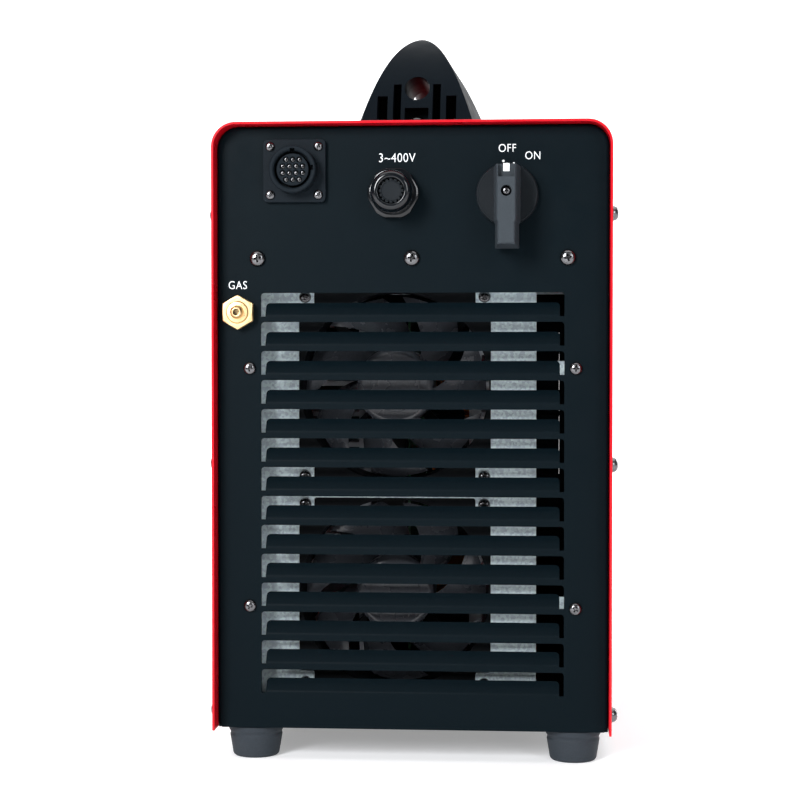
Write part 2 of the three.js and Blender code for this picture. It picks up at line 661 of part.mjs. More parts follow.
function domeNutGeometry() {
  const back = REAR_FACE - GAP - 7 - GAP;
  const front = back - 16.5;
  return glandAt(turned([
    [10.8, back], [12.8, back], [12.8, front + 5], [12.2, front + 2.4], [11, front + 0.7], [9.8, front],
    [8.2, front], [7.75, front + 0.5], [7.75, front + 6], [10.8, front + 8.5], [10.8, back],
  ], 24));
}

function plugGeometry() {
  const front = REAR_FACE - 22;
  return glandAt(turned([[0, front], [6.1, front], [6.65, front + 0.6], [6.65, -243.4], [7.6, -242.4],
    [7.6, -222], [0, -222]], 16));
}

function locknutGeometry() {
  const seat = REAR_INSIDE + GAP;
  return glandAt(cut(
    hexagonRod(31, seat, seat + 5),
    rodY(GLAND_THREAD + 2 * GAP, seat - 1, seat + 6, 0, 0),
  ));
}

function gasInletGeometry() {
  const seat = REAR_FACE - GAP;
  const hexagon = common(
    hexagonRod(GAS_HEX, seat - 7, seat),
    turned([[0, seat - 7], [8.8, seat - 7], [10.6, seat - 6], [10.6, seat], [0, seat]], 24),
  );
  const nipple = turned([[0, seat - 12], [2.6, seat - 12], [3.4, seat - 11.2], [4, seat - 8.6],
    [6.4, seat - 8.2], [6.9, seat - 6.5], [0, seat - 6.5]], 16);
  const tail = turned([[0, seat - 1], [6.5, seat - 1], [6.5, -210], [3.2, -210], [3.2, -192], [0, -192]], 10);
  return cut(join(hexagon, nipple, tail), rodY(1.45, -260, -180, 0, 0, 8)).translate(GAS_X, 0, GAS_Z);
}

// ---------- isolator ----------

function switchBodyGeometry() {
  const front = REAR_INSIDE + GAP;
  const block = new RoundedBoxGeometry(45, 58, 45, 1, 2).translate(SWITCH_X, front + 29, SWITCH_Z);
  return cut(block, rodY(4.4, front - 1, -197, SWITCH_X, SWITCH_Z, 16));
}

// The knob is drawn about its own axis, with the lever pointing down.
function knobGeometry() {
  const seat = REAR_FACE - 0.6;
  const face = -KNOB_REACH;
  const disc = turned([[0, seat - 5], [SWITCH_DISC - 1.2, seat - 5], [SWITCH_DISC, seat - 4],
    [SWITCH_DISC, seat], [0, seat]], 28);
  const section = (y, widthTop, widthEnd, high, low) => [
    [-widthTop, y, high], [widthTop, y, high], [widthTop, y, -17], [widthEnd, y, -18.5],
    [widthEnd, y, low], [-widthEnd, y, low], [-widthEnd, y, -18.5], [-widthTop, y, -17],
  ];
  const lever = loft([
    section(seat - 4.5, 8.15, 7.25, 17, -33),
    section(face + 1, 6, 5.4, 15.6, -31.6),
    section(face, 5.2, 4.6, 14.8, -30.8),
  ]);
  const pointerRecess = box(-4.4, 4.4, face - 1, face + 2, 7, 20);
  return cut(
    join(disc, lever),
    pointerRecess,
    rodY(4.4, seat - 18, seat + 1, 0, 0, 16),
    rodY(3.3, face - 1, face + 4, 0, 0, 12),
  );
}

// ---------- inner works ----------

// A finned sink: the base is a wall at x = 0, the fins reach towards -X.
function heatsinkGeometry() {
  const firstFin = SINK_FOOT_Z + 6;
  const fins = Array.from({ length: FIN_COUNT }, (_, i) => {
    const foot = firstFin + i * FIN_PITCH;
    return box(-SINK_REACH, 1 - SINK_BASE, SINK_FROM_Y, SINK_TO_Y, foot, foot + FIN_THICKNESS);
  });
  return join(box(-SINK_BASE, 0, SINK_FROM_Y, SINK_TO_Y, SINK_FOOT_Z, SINK_TOP_Z), ...fins);
}

// A circuit board, with a plain block for each large component: [x, y, width, length, height].
function boardGeometry(width, length, blocks) {
  const board = box(-width / 2, width / 2, -length / 2, length / 2, 0, BOARD_THICKNESS);
  const raised = blocks.map(([x, y, w, l, h]) => box(
    x - w / 2, x + w / 2, y - l / 2, y + l / 2, BOARD_THICKNESS / 2, h,
  ));
  return join(board, ...raised);
}

function capacitorGeometry() {
  return turned([[0, 0], [24, 0], [25, 1], [25, 5], [24, 6.5], [25, 8], [25, 71], [24, 72], [0, 72]], 16)
    .rotateX(Math.PI / 2);
}

function transformerCoreGeometry() {
  const window = (side) => box(side * 23 - 9, side * 23 + 9, 84, 147, 58, 106);
  return cut(box(-48, 48, 85, 146, 42, 122), window(-1), window(1));
}

function transformerCoilGeometry() {
  const wound = new RoundedBoxGeometry(63, 81, 47, 1, 6).translate(0, 115.5, 82);
  return cut(wound, box(-14.4, 14.4, 84.6, 146.4, 40, 130));
}

function chokeGeometry() {
  const section = [[18, -18], [22, -22], [38, -22], [42, -18], [42, 18], [38, 22], [22, 22], [18, 18], [18, -18]];
  return turned(section, 18).translate(0, 115, 200);
}

function hoseGeometry(points, steps) {
  const section = new THREE.Shape();
  section.absarc(0, 0, HOSE_OUTER, 0, 2 * Math.PI);
  const bore = new THREE.Path();
  bore.absarc(0, 0, HOSE_INNER, 0, 2 * Math.PI);
  section.holes.push(bore);
  const route = new THREE.CatmullRomCurve3(points.map((point) => new THREE.Vector3(...point)));
  return new THREE.ExtrudeGeometry(section, { extrudePath: route, steps, curveSegments: 4 });
}

function valveBodyGeometry() {
  const block = box(
    VALVE_X - VALVE_HALF_WIDTH, VALVE_X + VALVE_HALF_WIDTH, VALVE_REAR, VALVE_FRONT,
    VALVE_Z - VALVE_HALF_HEIGHT, VALVE_Z + VALVE_HALF_HEIGHT,
  );
  const barb = (y0, y1) => rodY(BARB_RADIUS, y0, y1, VALVE_X, VALVE_Z, 12);
  const rearBarb = barb(VALVE_REAR - BARB_LENGTH, VALVE_REAR + 1);
  const frontBarb = barb(VALVE_FRONT - 1, VALVE_FRONT + BARB_LENGTH);
  return join(block, rearBarb, frontBarb);
}

// ---------- control panel fittings ----------

function torchHousingGeometry() {
  const seat = FRONT_FACE + GAP;
  const at = (radius, y0, y1, z = OUTLET_Z, sides = 24) => rodY(radius, y0, y1, TORCH_X, z, sides);
  const flange = prismY(roundedRectangle(28, 28, 5, TORCH_X, OUTLET_Z), seat, seat + 4, 2);
  const plugWell = 236; // the torch plug's sleeve reaches in to here
  const whole = join(
    flange,
    at(20, seat + 3, TORCH_REACH),
    at(OUTLET_BARREL, 205, seat + 1),
    at(BARB_RADIUS, 201, 206, OUTLET_Z + 11, 8),
  );
  return cut(whole, at(OUTLET_BARREL, plugWell, TORCH_REACH + 1), at(5.4, 200, plugWell + 4));
}

function torchPinGeometry() {
  return turned([[0, 198], [5, 198], [5, 252], [4, 254], [0, 254]], 20).translate(TORCH_X, 0, OUTLET_Z);
}

function earthHousingGeometry() {
  const seat = FRONT_FACE + GAP;
  const profile = [
    [12.4, 204], [OUTLET_BARREL, 204], [OUTLET_BARREL, seat], [24, seat], [24, seat + 4],
    [21, seat + 6], [20, seat + 18], [18.5, seat + 19.5], [12.4, seat + 19.5], [12.4, 204],
  ];
  return turned(profile, 24).translate(EARTH_X, 0, OUTLET_Z);
}

function earthInsertGeometry() {
  const keyway = box(0, 2.6, 226, 250, 5, 9.4);
  const sleeve = turned([
    [0, 198], [6, 198], [6, 206], [12, 206], [12, 244], [6.8, 244], [6.8, 222], [0, 222],
  ], 20);
  return cut(sleeve, keyway).translate(EARTH_X, 0, OUTLET_Z);
}

// Turned about its own axis; the shaft reaches back into the potentiometer.
function currentKnobGeometry() {
  const seat = FRONT_FACE + 0.8;
  const grip = turned([[0, seat + 17], [13, seat + 17], [14.4, seat + 15.8], [15, seat + 5], [19, seat + 2.4],
    [19, seat], [0, seat]], 20);
  const flutes = Array.from({ length: 6 }, (_, i) => rodY(2, seat + 5.5, seat + 20, 15.6, 0, 6)
    .rotateY(i * Math.PI / 3));
  const pointer = box(-0.8, 0.8, seat + 16, seat + 20, 5, 16);
  return join(cut(grip, ...flutes, pointer), rodY(3, 215, seat + 1, 0, 0, 16));
}

function potentiometerGeometry() {
  const back = FRONT_FACE - SHEET - GAP;
  const whole = join(rodY(12, back - 14, back, 0, 0), rodY(4.6, back - 1, FRONT_FACE + 0.4, 0, 0, 16));
  return cut(whole, rodY(3.4, 213, FRONT_FACE + 1, 0, 0, 16)).translate(CURRENT_KNOB_X, 0, CONTROL_Z);
}

// A rocker switch is drawn about the rocker's pivot. The rocker stays inside a circle about that pivot.
function rockerBodyGeometry() {
  const seat = FRONT_FACE + GAP - ROCKER_PIVOT_Y;
  const bezel = prismY(roundedRectangle(8.9, 13, 1.5), seat, seat + 2, 2);
  const shell = prismY(roundedRectangle(7.2, 11.2, 0.6), -16, seat + 1, 2);
  const clearRadius = ROCKER_RADIUS + 0.5;
  return cut(
    join(bezel, shell),
    rodX(clearRadius, -5.4, 5.4, 0, 0, 24),
    box(-5.4, 5.4, 0, 20, -clearRadius + 0.02, clearRadius - 0.02),
  );
}

function rockerGeometry() {
  const rearArc = Array.from({ length: 9 }, (_, i) => {
    const angle = Math.PI * (0.5 + i / 8);
    return [ROCKER_RADIUS * 0.86 * Math.cos(angle), ROCKER_RADIUS * 0.86 * Math.sin(angle)];
  });
  const profile = [[3.4, 0], [4.6, 7.8], [1.5, 8.4], ...rearArc, [1.5, -8.4], [4.6, -7.8]];
  return prismX(polygon(profile), -4.9, 4.9).rotateX(ROCKER_TILT);
}

// ---------- fasteners ----------

// A pan-head screw with a cross recess, along -Y, with the underside of its head at y = 0.
function screwGeometry(headRadius, headHeight, shankRadius, shankLength) {
  const body = turned([
    [0, -headHeight], [headRadius * 0.45, -headHeight * 0.96], [headRadius * 0.8, -headHeight * 0.72],
    [headRadius, 0], [shankRadius, 0], [shankRadius, shankLength], [0, shankLength],
  ], 12);
  const slot = headRadius * 0.14;
  const arm = headRadius * 0.55;
  const depth = headHeight * 0.6;
  return cut(
    body,
    box(-slot, slot, -headHeight - 1, -headHeight + depth, -arm, arm),
    box(-arm, arm, -headHeight - 1, -headHeight + depth, -slot, slot),
  );
}

// ---------- putting it together ----------

part('cover', coverGeometry(), RED_PAINT);
part('base_pan', basePanGeometry(), BLACK_PAINT);
part('rear_panel', rearPanelGeometry(), BLACK_PAINT);
part('front_panel', frontPanelGeometry(), BLACK_PAINT);
part('fan_plate', fanPlateGeometry(), GALVANISED);
part('mid_shelf', shelfGeometry(), GALVANISED);

part('handle_rear_bracket', bracketGeometry(), HANDLE_PLASTIC);
part('handle_front_bracket', bracketGeometry(), HANDLE_PLASTIC).rotation.z = Math.PI;
part('handle_grip', gripGeometry(), HANDLE_PLASTIC);

FOOT_PLACES.forEach(([x, y], i) => {
  part(`foot_${i + 1}`, footGeometry(), RUBBER, groupAt(x, y, 0));
});

['upper', 'lower'].forEach((level, i) => {
  const fan = groupAt(FAN_X, PLATE_Y + SHEET + GAP + FAN_DEPTH / 2, FAN_Z[i]);
  part(`fan_${level}_frame`, fanFrameGeometry(), CAST_ALUMINIUM, fan);
  part(`fan_${level}_motor`, fanMotorGeometry(), CAST_ALUMINIUM, fan);
  part(`fan_${level}_impeller`, impellerGeometry(), ALUMINIUM, fan);
});

part('remote_socket_shell', socketShellGeometry(), BLACK_PLASTIC);
part('remote_socket_insert', socketInsertGeometry(), BLACK_PLASTIC);
part('gland_body', glandBodyGeometry(), GLOSSY_PLASTIC);
part('gland_dome_nut', domeNutGeometry(), GLOSSY_PLASTIC);
part('gland_blanking_plug', plugGeometry(), GREY_PLASTIC);
part('gland_locknut', locknutGeometry(), BLACK_PLASTIC);
part('gas_inlet_fitting', gasInletGeometry(), BRASS);

part('switch_body', switchBodyGeometry(), BLACK_PLASTIC);
const switchAxis = groupAt(SWITCH_X, 0, SWITCH_Z);
part('switch_knob', knobGeometry(), GREY_PLASTIC, switchAxis);
part('switch_shaft', rodY(4, REAR_FACE - 17, -199, 0, 0), NICKEL, switchAxis);

const hoseStart = [[GAS_X, -209, GAS_Z], [GAS_X, -192, GAS_Z], [GAS_X, -175, GAS_Z]];
const valveMouth = [[VALVE_X, -128, VALVE_Z], [VALVE_X, -113, VALVE_Z], [VALVE_X, VALVE_REAR - GAP, VALVE_Z]];
part('gas_inlet_hose', hoseGeometry([...hoseStart, [-103, -145, 273], ...valveMouth], 10), HOSE);
part('gas_valve_body', valveBodyGeometry(), BRASS);
part('gas_valve_coil', box(
  VALVE_X - 14, VALVE_X + 14, VALVE_REAR + 2, VALVE_FRONT - 2,
  VALVE_Z - 46, VALVE_Z - VALVE_HALF_HEIGHT - GAP,
), BLACK_PLASTIC);
const valveOutlet = [[VALVE_X, VALVE_FRONT + GAP, VALVE_Z], [VALVE_X, -48, VALVE_Z], [VALVE_X, -32, VALVE_Z]];
const torchEnd = [
  [-62, 180, OUTLET_Z + 12], [TORCH_X, 192, OUTLET_Z + 11], [TORCH_X, 205 - GAP, OUTLET_Z + 11],
];
part('gas_torch_hose', hoseGeometry([
  ...valveOutlet, [-100, 40, 255], [-100, 110, 180], [-84, 160, 105], ...torchEnd,
], 22), HOSE);

const sinkLeft = groupAt(-SINK_FACE_X, 0, 0);
const sinkRight = groupAt(SINK_FACE_X, 0, 0);
part('heatsink_left', heatsinkGeometry(), ALUMINIUM, sinkLeft);
part('heatsink_right', heatsinkGeometry().scale(-1, 1, 1), ALUMINIUM, sinkRight);
part('igbt_module', box(GAP - SINK_FACE_X, -12, -110, -10, 140, 205), BLACK_PLASTIC);
part('rectifier_module', box(12, SINK_FACE_X - GAP, -110, -40, 140, 195), BLACK_PLASTIC);
const powerBoardBlocks = [
  [-40, -50, 30, 20, 9], [30, 20, 24, 40, 8], [60, -40, 20, 26, 9], [-70, 50, 30, 24, 7],
];
const powerBoard = part('power_board', boardGeometry(220, 170, powerBoardBlocks), BOARD_GREEN);
powerBoard.rotation.y = Math.PI / 2;
powerBoard.position.set(-9, -50, 164);
part('bus_capacitor_1', capacitorGeometry(), CAPACITOR_SLEEVE, groupAt(-50, -115, SHELF_Z + SHEET + GAP));
part('bus_capacitor_2', capacitorGeometry(), CAPACITOR_SLEEVE, groupAt(15, -115, SHELF_Z + SHEET + GAP));
part('transformer_core', transformerCoreGeometry(), FERRITE);
part('transformer_coil', transformerCoilGeometry(), COPPER);
part('output_choke', chokeGeometry(), COPPER);
const controlBlocks = [
  [-30, 40, 24, 18, 14], [20, 10, 34, 12, 10], [40, -50, 16, 40, 16], [-45, -60, 20, 26, 12],
];
const controlBoard = part('control_board', boardGeometry(130, 190, controlBlocks), BOARD_GREEN);
controlBoard.position.set(0, 60, SHELF_Z + 12);

part('display_window', prismY(
  roundedRectangle(40, 19, 3, DISPLAY_X, CONTROL_Z), FRONT_FACE + GAP, FRONT_FACE + 2.5, 3,
), SMOKED_WINDOW);
part('torch_socket_housing', torchHousingGeometry(), BLACK_PLASTIC);
part('torch_socket_pin', torchPinGeometry(), BRASS);
part('earth_socket_housing', earthHousingGeometry(), BLACK_PLASTIC);
part('earth_socket_insert', earthInsertGeometry(), BRASS);
part('current_potentiometer', potentiometerGeometry(), NICKEL);
part('current_knob', currentKnobGeometry(), BLACK_PLASTIC, groupAt(CURRENT_KNOB_X, 0, CONTROL_Z));
['gas_test', 'mode'].forEach((use, i) => {
  const place = groupAt(ROCKER_X[i], ROCKER_PIVOT_Y, CONTROL_Z);
  part(`${use}_switch_body`, rockerBodyGeometry(), BLACK_PLASTIC, place);
  part(`${use}_rocker`, rockerGeometry(), RED_PAINT, place);
});

PANEL_SCREW_X.forEach((x, i) => {
  const place = groupAt(x, REAR_FACE - GAP, PANEL_SCREW_Z);
  part(`rear_panel_screw_${i + 1}`, screwGeometry(5, 3.6, 2.5, 12), NICKEL, place);
});
['left', 'right'].forEach((name, i) => {
  const side = 2 * i - 1;
  const place = groupAt(side * (CASE_WIDTH / 2 + GAP), -COVER_SCREW_Y, COVER_SCREW_Z[1]);
  place.rotation.z = side * Math.PI / 2;
  part(`cover_screw_${name}`, screwGeometry(4.7, 4.2, 2.5, 10), NICKEL, place);
});

export default unit;
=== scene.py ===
# %% [markdown]
# # A plasma cutter's power source
# The unit is a steel box that stands on four rubber feet. A black tray and two black louvred
# end panels carry the works, and one red sheet is folded over them. This lesson dresses the
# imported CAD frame: it makes the sheet metal, fans, knobs and sockets in finer meshes, gives
# every surface its own finish, and lights it all softly. Lengths are in millimetres until a
# piece is finished, and X is across, Y runs from the rear panel to the control panel, Z is up.

# %% Load the fixed frame
import math
import random

import bmesh
import bpy
from mathutils import Matrix, Vector


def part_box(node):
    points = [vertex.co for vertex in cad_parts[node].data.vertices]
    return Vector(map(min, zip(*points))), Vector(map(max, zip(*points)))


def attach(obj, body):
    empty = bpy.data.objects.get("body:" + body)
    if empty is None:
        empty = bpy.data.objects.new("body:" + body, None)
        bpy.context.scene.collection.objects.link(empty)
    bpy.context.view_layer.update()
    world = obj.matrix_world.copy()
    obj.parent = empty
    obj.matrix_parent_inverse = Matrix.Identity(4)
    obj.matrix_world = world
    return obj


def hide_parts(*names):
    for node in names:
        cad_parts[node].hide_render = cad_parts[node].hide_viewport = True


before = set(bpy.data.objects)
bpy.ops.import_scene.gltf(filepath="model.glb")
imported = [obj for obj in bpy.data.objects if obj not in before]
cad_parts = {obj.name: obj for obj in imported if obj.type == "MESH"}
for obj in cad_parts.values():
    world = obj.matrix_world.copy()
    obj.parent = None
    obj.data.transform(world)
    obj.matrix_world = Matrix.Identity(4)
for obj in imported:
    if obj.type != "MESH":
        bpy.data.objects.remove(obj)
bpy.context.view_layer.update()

MM = 0.001
GAP = 0.3
SHEET = 1.5
SIDES = (-1, 1)
CORNERS = [(i, j) for i in SIDES for j in SIDES]


def span(node):
    """Lowest and highest corner of a CAD node, in millimetres."""
    low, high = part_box(node)
    return low / MM, high / MM


def middle(node):
    low, high = span(node)
    return (low + high) / 2


# %% [markdown]
# ## Small mesh helpers
# Nearly every piece of this unit is either turned on an axis, folded from sheet or moulded
# with a constant outline. So four helpers go a long way: a skin between rings of vertices, a
# turned profile, a flat plate with holes, and a boolean cut. Drawing each piece from its own
# outline keeps the meshes light and lets a change of size carry through.

# %% Outlines
def arc(x, z, radius, start, stop, steps=8):
    """Points on an arc, with angles in degrees, counter-clockwise from +X."""
    points = []
    for step in range(steps + 1):
        angle = math.radians(start + (stop - start) * step / steps)
        points.append((x + radius * math.cos(angle), z + radius * math.sin(angle)))
    return points


def circle(x, z, radius, steps=48):
    return arc(x, z, radius, 0, 360, steps)[:-1]


def rectangle(x, z, half_width, half_height, radius, steps=6):
    """A rectangle with round corners."""
    points = []
    for side, level, start in ((1, -1, -90), (1, 1, 0), (-1, 1, 90), (-1, -1, 180)):
        corner_x = x + side * (half_width - radius)
        corner_z = z + level * (half_height - radius)
        points += arc(corner_x, corner_z, radius, start, start + 90, steps)
    return points


def polygon(x, z, corners, across_flats, turn=0.0):
    radius = across_flats / 2 / math.cos(math.pi / corners)
    return [arc(x, z, radius, turn + 360 * i / corners, 360, 1)[0] for i in range(corners)]


def softened(points, radius, steps=3, closed=False):
    """The same outline with its corners rounded off by short curves."""
    result = []
    count = len(points)
    for i, here in enumerate(points):
        if not closed and i in (0, count - 1):
            result.append(here)
            continue
        here = Vector(here)
        before = Vector(points[i - 1]) - here
        after = Vector(points[(i + 1) % count]) - here
        reach = min(radius, 0.45 * before.length, 0.45 * after.length)
        start = here + before.normalized() * reach
        stop = here + after.normalized() * reach
        for step in range(steps + 1):
            share = step / steps
            near = start.lerp(here, share)
            far = here.lerp(stop, share)
            result.append(tuple(near.lerp(far, share)))
    return result


print("a round corner takes", len(rectangle(0, 0, 10, 10, 2)) // 4, "points")

# %% Skins, turned pieces and plates
def row(bm, points):
    return [bm.verts.new(point) for point in points]


def skin(bm, rings, around=True, along=False):
    """Faces between neighbouring rings. A vertex that repeats in a ring closes to a point."""
    count = len(rings[0])
    pairs = list(zip(rings, rings[1:]))
    if along:
        pairs.append((rings[-1], rings[0]))
    for near, far in pairs:
        for i in range(count if around else count - 1):
            j = (i + 1) % count
            corners = list(dict.fromkeys((near[i], near[j], far[j], far[i])))
            if len(corners) > 2:
                bm.faces.new(corners)


def turned(bm, profile, x=0.0, z=0.0, segments=64, closed=False):
    """Turns a profile of (radius, y) about an axis along Y."""
    rings = []
    for radius, y in profile:
        if radius < 1e-5:
            rings.append([bm.verts.new((x, y, z))] * segments)
            continue
        rings.append(row(bm, [(px, y, pz) for px, pz in circle(x, z, radius, segments)]))
    skin(bm, rings, along=closed)


def sheet_face(bm, outlines, y=0.0):
    """A flat face in the plane Y = y, bounded by the first outline, with the others as holes."""
    edges = []
    for outline in outlines:
        ring = row(bm, [(px, y, pz) for px, pz in outline])
        for i, vertex in enumerate(ring):
            edges.append(bm.edges.new((vertex, ring[(i + 1) % len(ring)])))
    bmesh.ops.triangle_fill(bm, edges=edges, use_beauty=True, normal=(0, -1, 0))


def mesh_of(curve):
    """The mesh that a curve gives. The curve itself is taken away again."""
    holder = bpy.data.objects.new("outline", curve)
    bpy.context.scene.collection.objects.link(holder)
    bpy.context.view_layer.update()
    graph = bpy.context.evaluated_depsgraph_get()
    mesh = bpy.data.meshes.new_from_object(holder.evaluated_get(graph))
    bpy.data.objects.remove(holder)
    bpy.data.curves.remove(curve)
    return mesh


def plate(bm, outlines, y0, y1, edge=0.0, steps=2):
    """A plate with holes, y0 to y1 thick, with its edges rounded: a filled and bevelled curve."""
    curve = bpy.data.curves.new("outline", "CURVE")
    curve.dimensions = "2D"
    curve.fill_mode = "BOTH"
    for outline in outlines:
        spline = curve.splines.new("POLY")
        spline.points.add(len(outline) - 1)
        spline.use_cyclic_u = True
        for point, (px, pz) in zip(spline.points, outline):
            point.co = (px, pz, 0, 1)
    curve.extrude = (y1 - y0) / 2 - edge
    curve.bevel_depth = edge
    curve.bevel_resolution = steps
    curve.offset = -edge
    mesh = mesh_of(curve)
    stand_up = Matrix(((1, 0, 0, 0), (0, 0, -1, (y0 + y1) / 2), (0, 1, 0, 0), (0, 0, 0, 1)))
    mesh.transform(stand_up)
    part = bmesh.new()
    part.from_mesh(mesh)
    bmesh.ops.remove_doubles(part, verts=part.verts, dist=1e-4)
    part.to_mesh(mesh)
    part.free()
    bm.from_mesh(mesh)
    bpy.data.meshes.remove(mesh)


def block(bm, low, high):
    """A box between two corners, in millimetres."""
    size = Vector(high) - Vector(low)
    place = Matrix.Translation((Vector(high) + Vector(low)) / 2) @ Matrix.Diagonal((*size, 1))
    bmesh.ops.create_cube(bm, size=1, matrix=place)


def moved(bm, matrix, since=0):
    """Transforms the vertices made since a count."""
    bm.verts.ensure_lookup_table()
    for vertex in bm.verts[since:]:
        vertex.co = matrix @ vertex.co


def carved(body, tools, how="DIFFERENCE"):
    """Cuts tools out of a closed body with exact booleans, and gives back a new bmesh."""
    holders = []
    for part in [body, *tools]:
        bmesh.ops.recalc_face_normals(part, faces=part.faces)
        mesh = bpy.data.meshes.new("carving")
        part.to_mesh(mesh)
        part.free()
        holder = bpy.data.objects.new("carving", mesh)
        bpy.context.scene.collection.objects.link(holder)
        holders.append(holder)
    for tool in holders[1:]:
        modifier = holders[0].modifiers.new("cut", "BOOLEAN")
        modifier.operation = how
        modifier.solver = "EXACT"
        modifier.object = tool
    bpy.context.view_layer.update()
    result = bmesh.new()
    graph = bpy.context.evaluated_depsgraph_get()
    mesh = bpy.data.meshes.new_from_object(holders[0].evaluated_get(graph))
    result.from_mesh(mesh)
    bpy.data.meshes.remove(mesh)
    for holder in holders:
        left_over = holder.data
        bpy.data.objects.remove(holder)
        bpy.data.meshes.remove(left_over)
    bmesh.ops.dissolve_limit(result, angle_limit=math.radians(0.5), verts=result.verts, edges=result.edges)
    return result


def tool(make, *args, **named):
    """A fresh bmesh filled by one of the makers above."""
    bm = bmesh.new()
    make(bm, *args, **named)
    return bm


made = []


def broken_edges(thing, width, sharp):
    """Rounds the edges that are sharper than an angle."""
    rounding = thing.modifiers.new("broken edges", "BEVEL")
    rounding.width = width * MM
    rounding.segments = 2
    rounding.limit_method = "ANGLE"
    rounding.angle_limit = math.radians(sharp)
    rounding.harden_normals = True


def piece(name, bm, finish, body, stands_for=(), bevel=0.0, sharp=35, solidify=0.0):
    """Finishes a mesh: outward faces, smooth shading with sharp edges, and its place in the frame."""
    bmesh.ops.remove_doubles(bm, verts=bm.verts, dist=1e-4)
    bmesh.ops.recalc_face_normals(bm, faces=bm.faces)
    bmesh.ops.scale(bm, vec=(MM, MM, MM), verts=bm.verts)
    mesh = bpy.data.meshes.new(name)
    bm.to_mesh(mesh)
    bm.free()
    mesh.shade_smooth()
    if solidify == 0 and bevel == 0:
        mesh.set_sharp_from_angle(angle=math.radians(sharp))
    mesh.materials.append(finish)
    thing = bpy.data.objects.new(name, mesh)
    bpy.context.scene.collection.objects.link(thing)
    if solidify:
        thick = thing.modifiers.new("sheet thickness", "SOLIDIFY")
        thick.thickness = solidify * MM
        thick.offset = -1
        thick.use_even_offset = True
    if bevel:
        broken_edges(thing, bevel, sharp)
    weighted = thing.modifiers.new("flat faces stay flat", "WEIGHTED_NORMAL")
    weighted.keep_sharp = True
    weighted.weight = 80
    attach(thing, body)
    if stands_for:
        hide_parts(*stands_for)
    made.append(thing)
    return thing


def second_finish(thing, finish, chosen):
    """Gives another finish to the faces whose corners, in millimetres, are all chosen. Both uses paint shade:
    on the knob's disc and inside the gas bore.
    """
    mesh = thing.data
    mesh.materials.append(finish)
    for face in mesh.polygons:
        corners = [mesh.vertices[i].co / MM for i in face.vertices]
        face.material_index = int(all(chosen(corner) for corner in corners))


print("helpers ready")

# %% [markdown]
# ## Finishes
# A finish is a Principled shader with the constant values on its own sockets, and nodes only
# for what varies over the surface: grain, spangle, orange peel, turning marks, dust. Object
# coordinates give every piece the same grain size without an unwrap, because all the pieces
# keep the frame's origin.

# %% Node helpers
def colour(red, green, blue):
    """Linear colour from display values of 0 to 255."""
    linear = []
    for value in (red, green, blue):
        share = value / 255
        linear.append(share / 12.92 if share <= 0.04045 else ((share + 0.055) / 1.055) ** 2.4)
    return (*linear, 1.0)


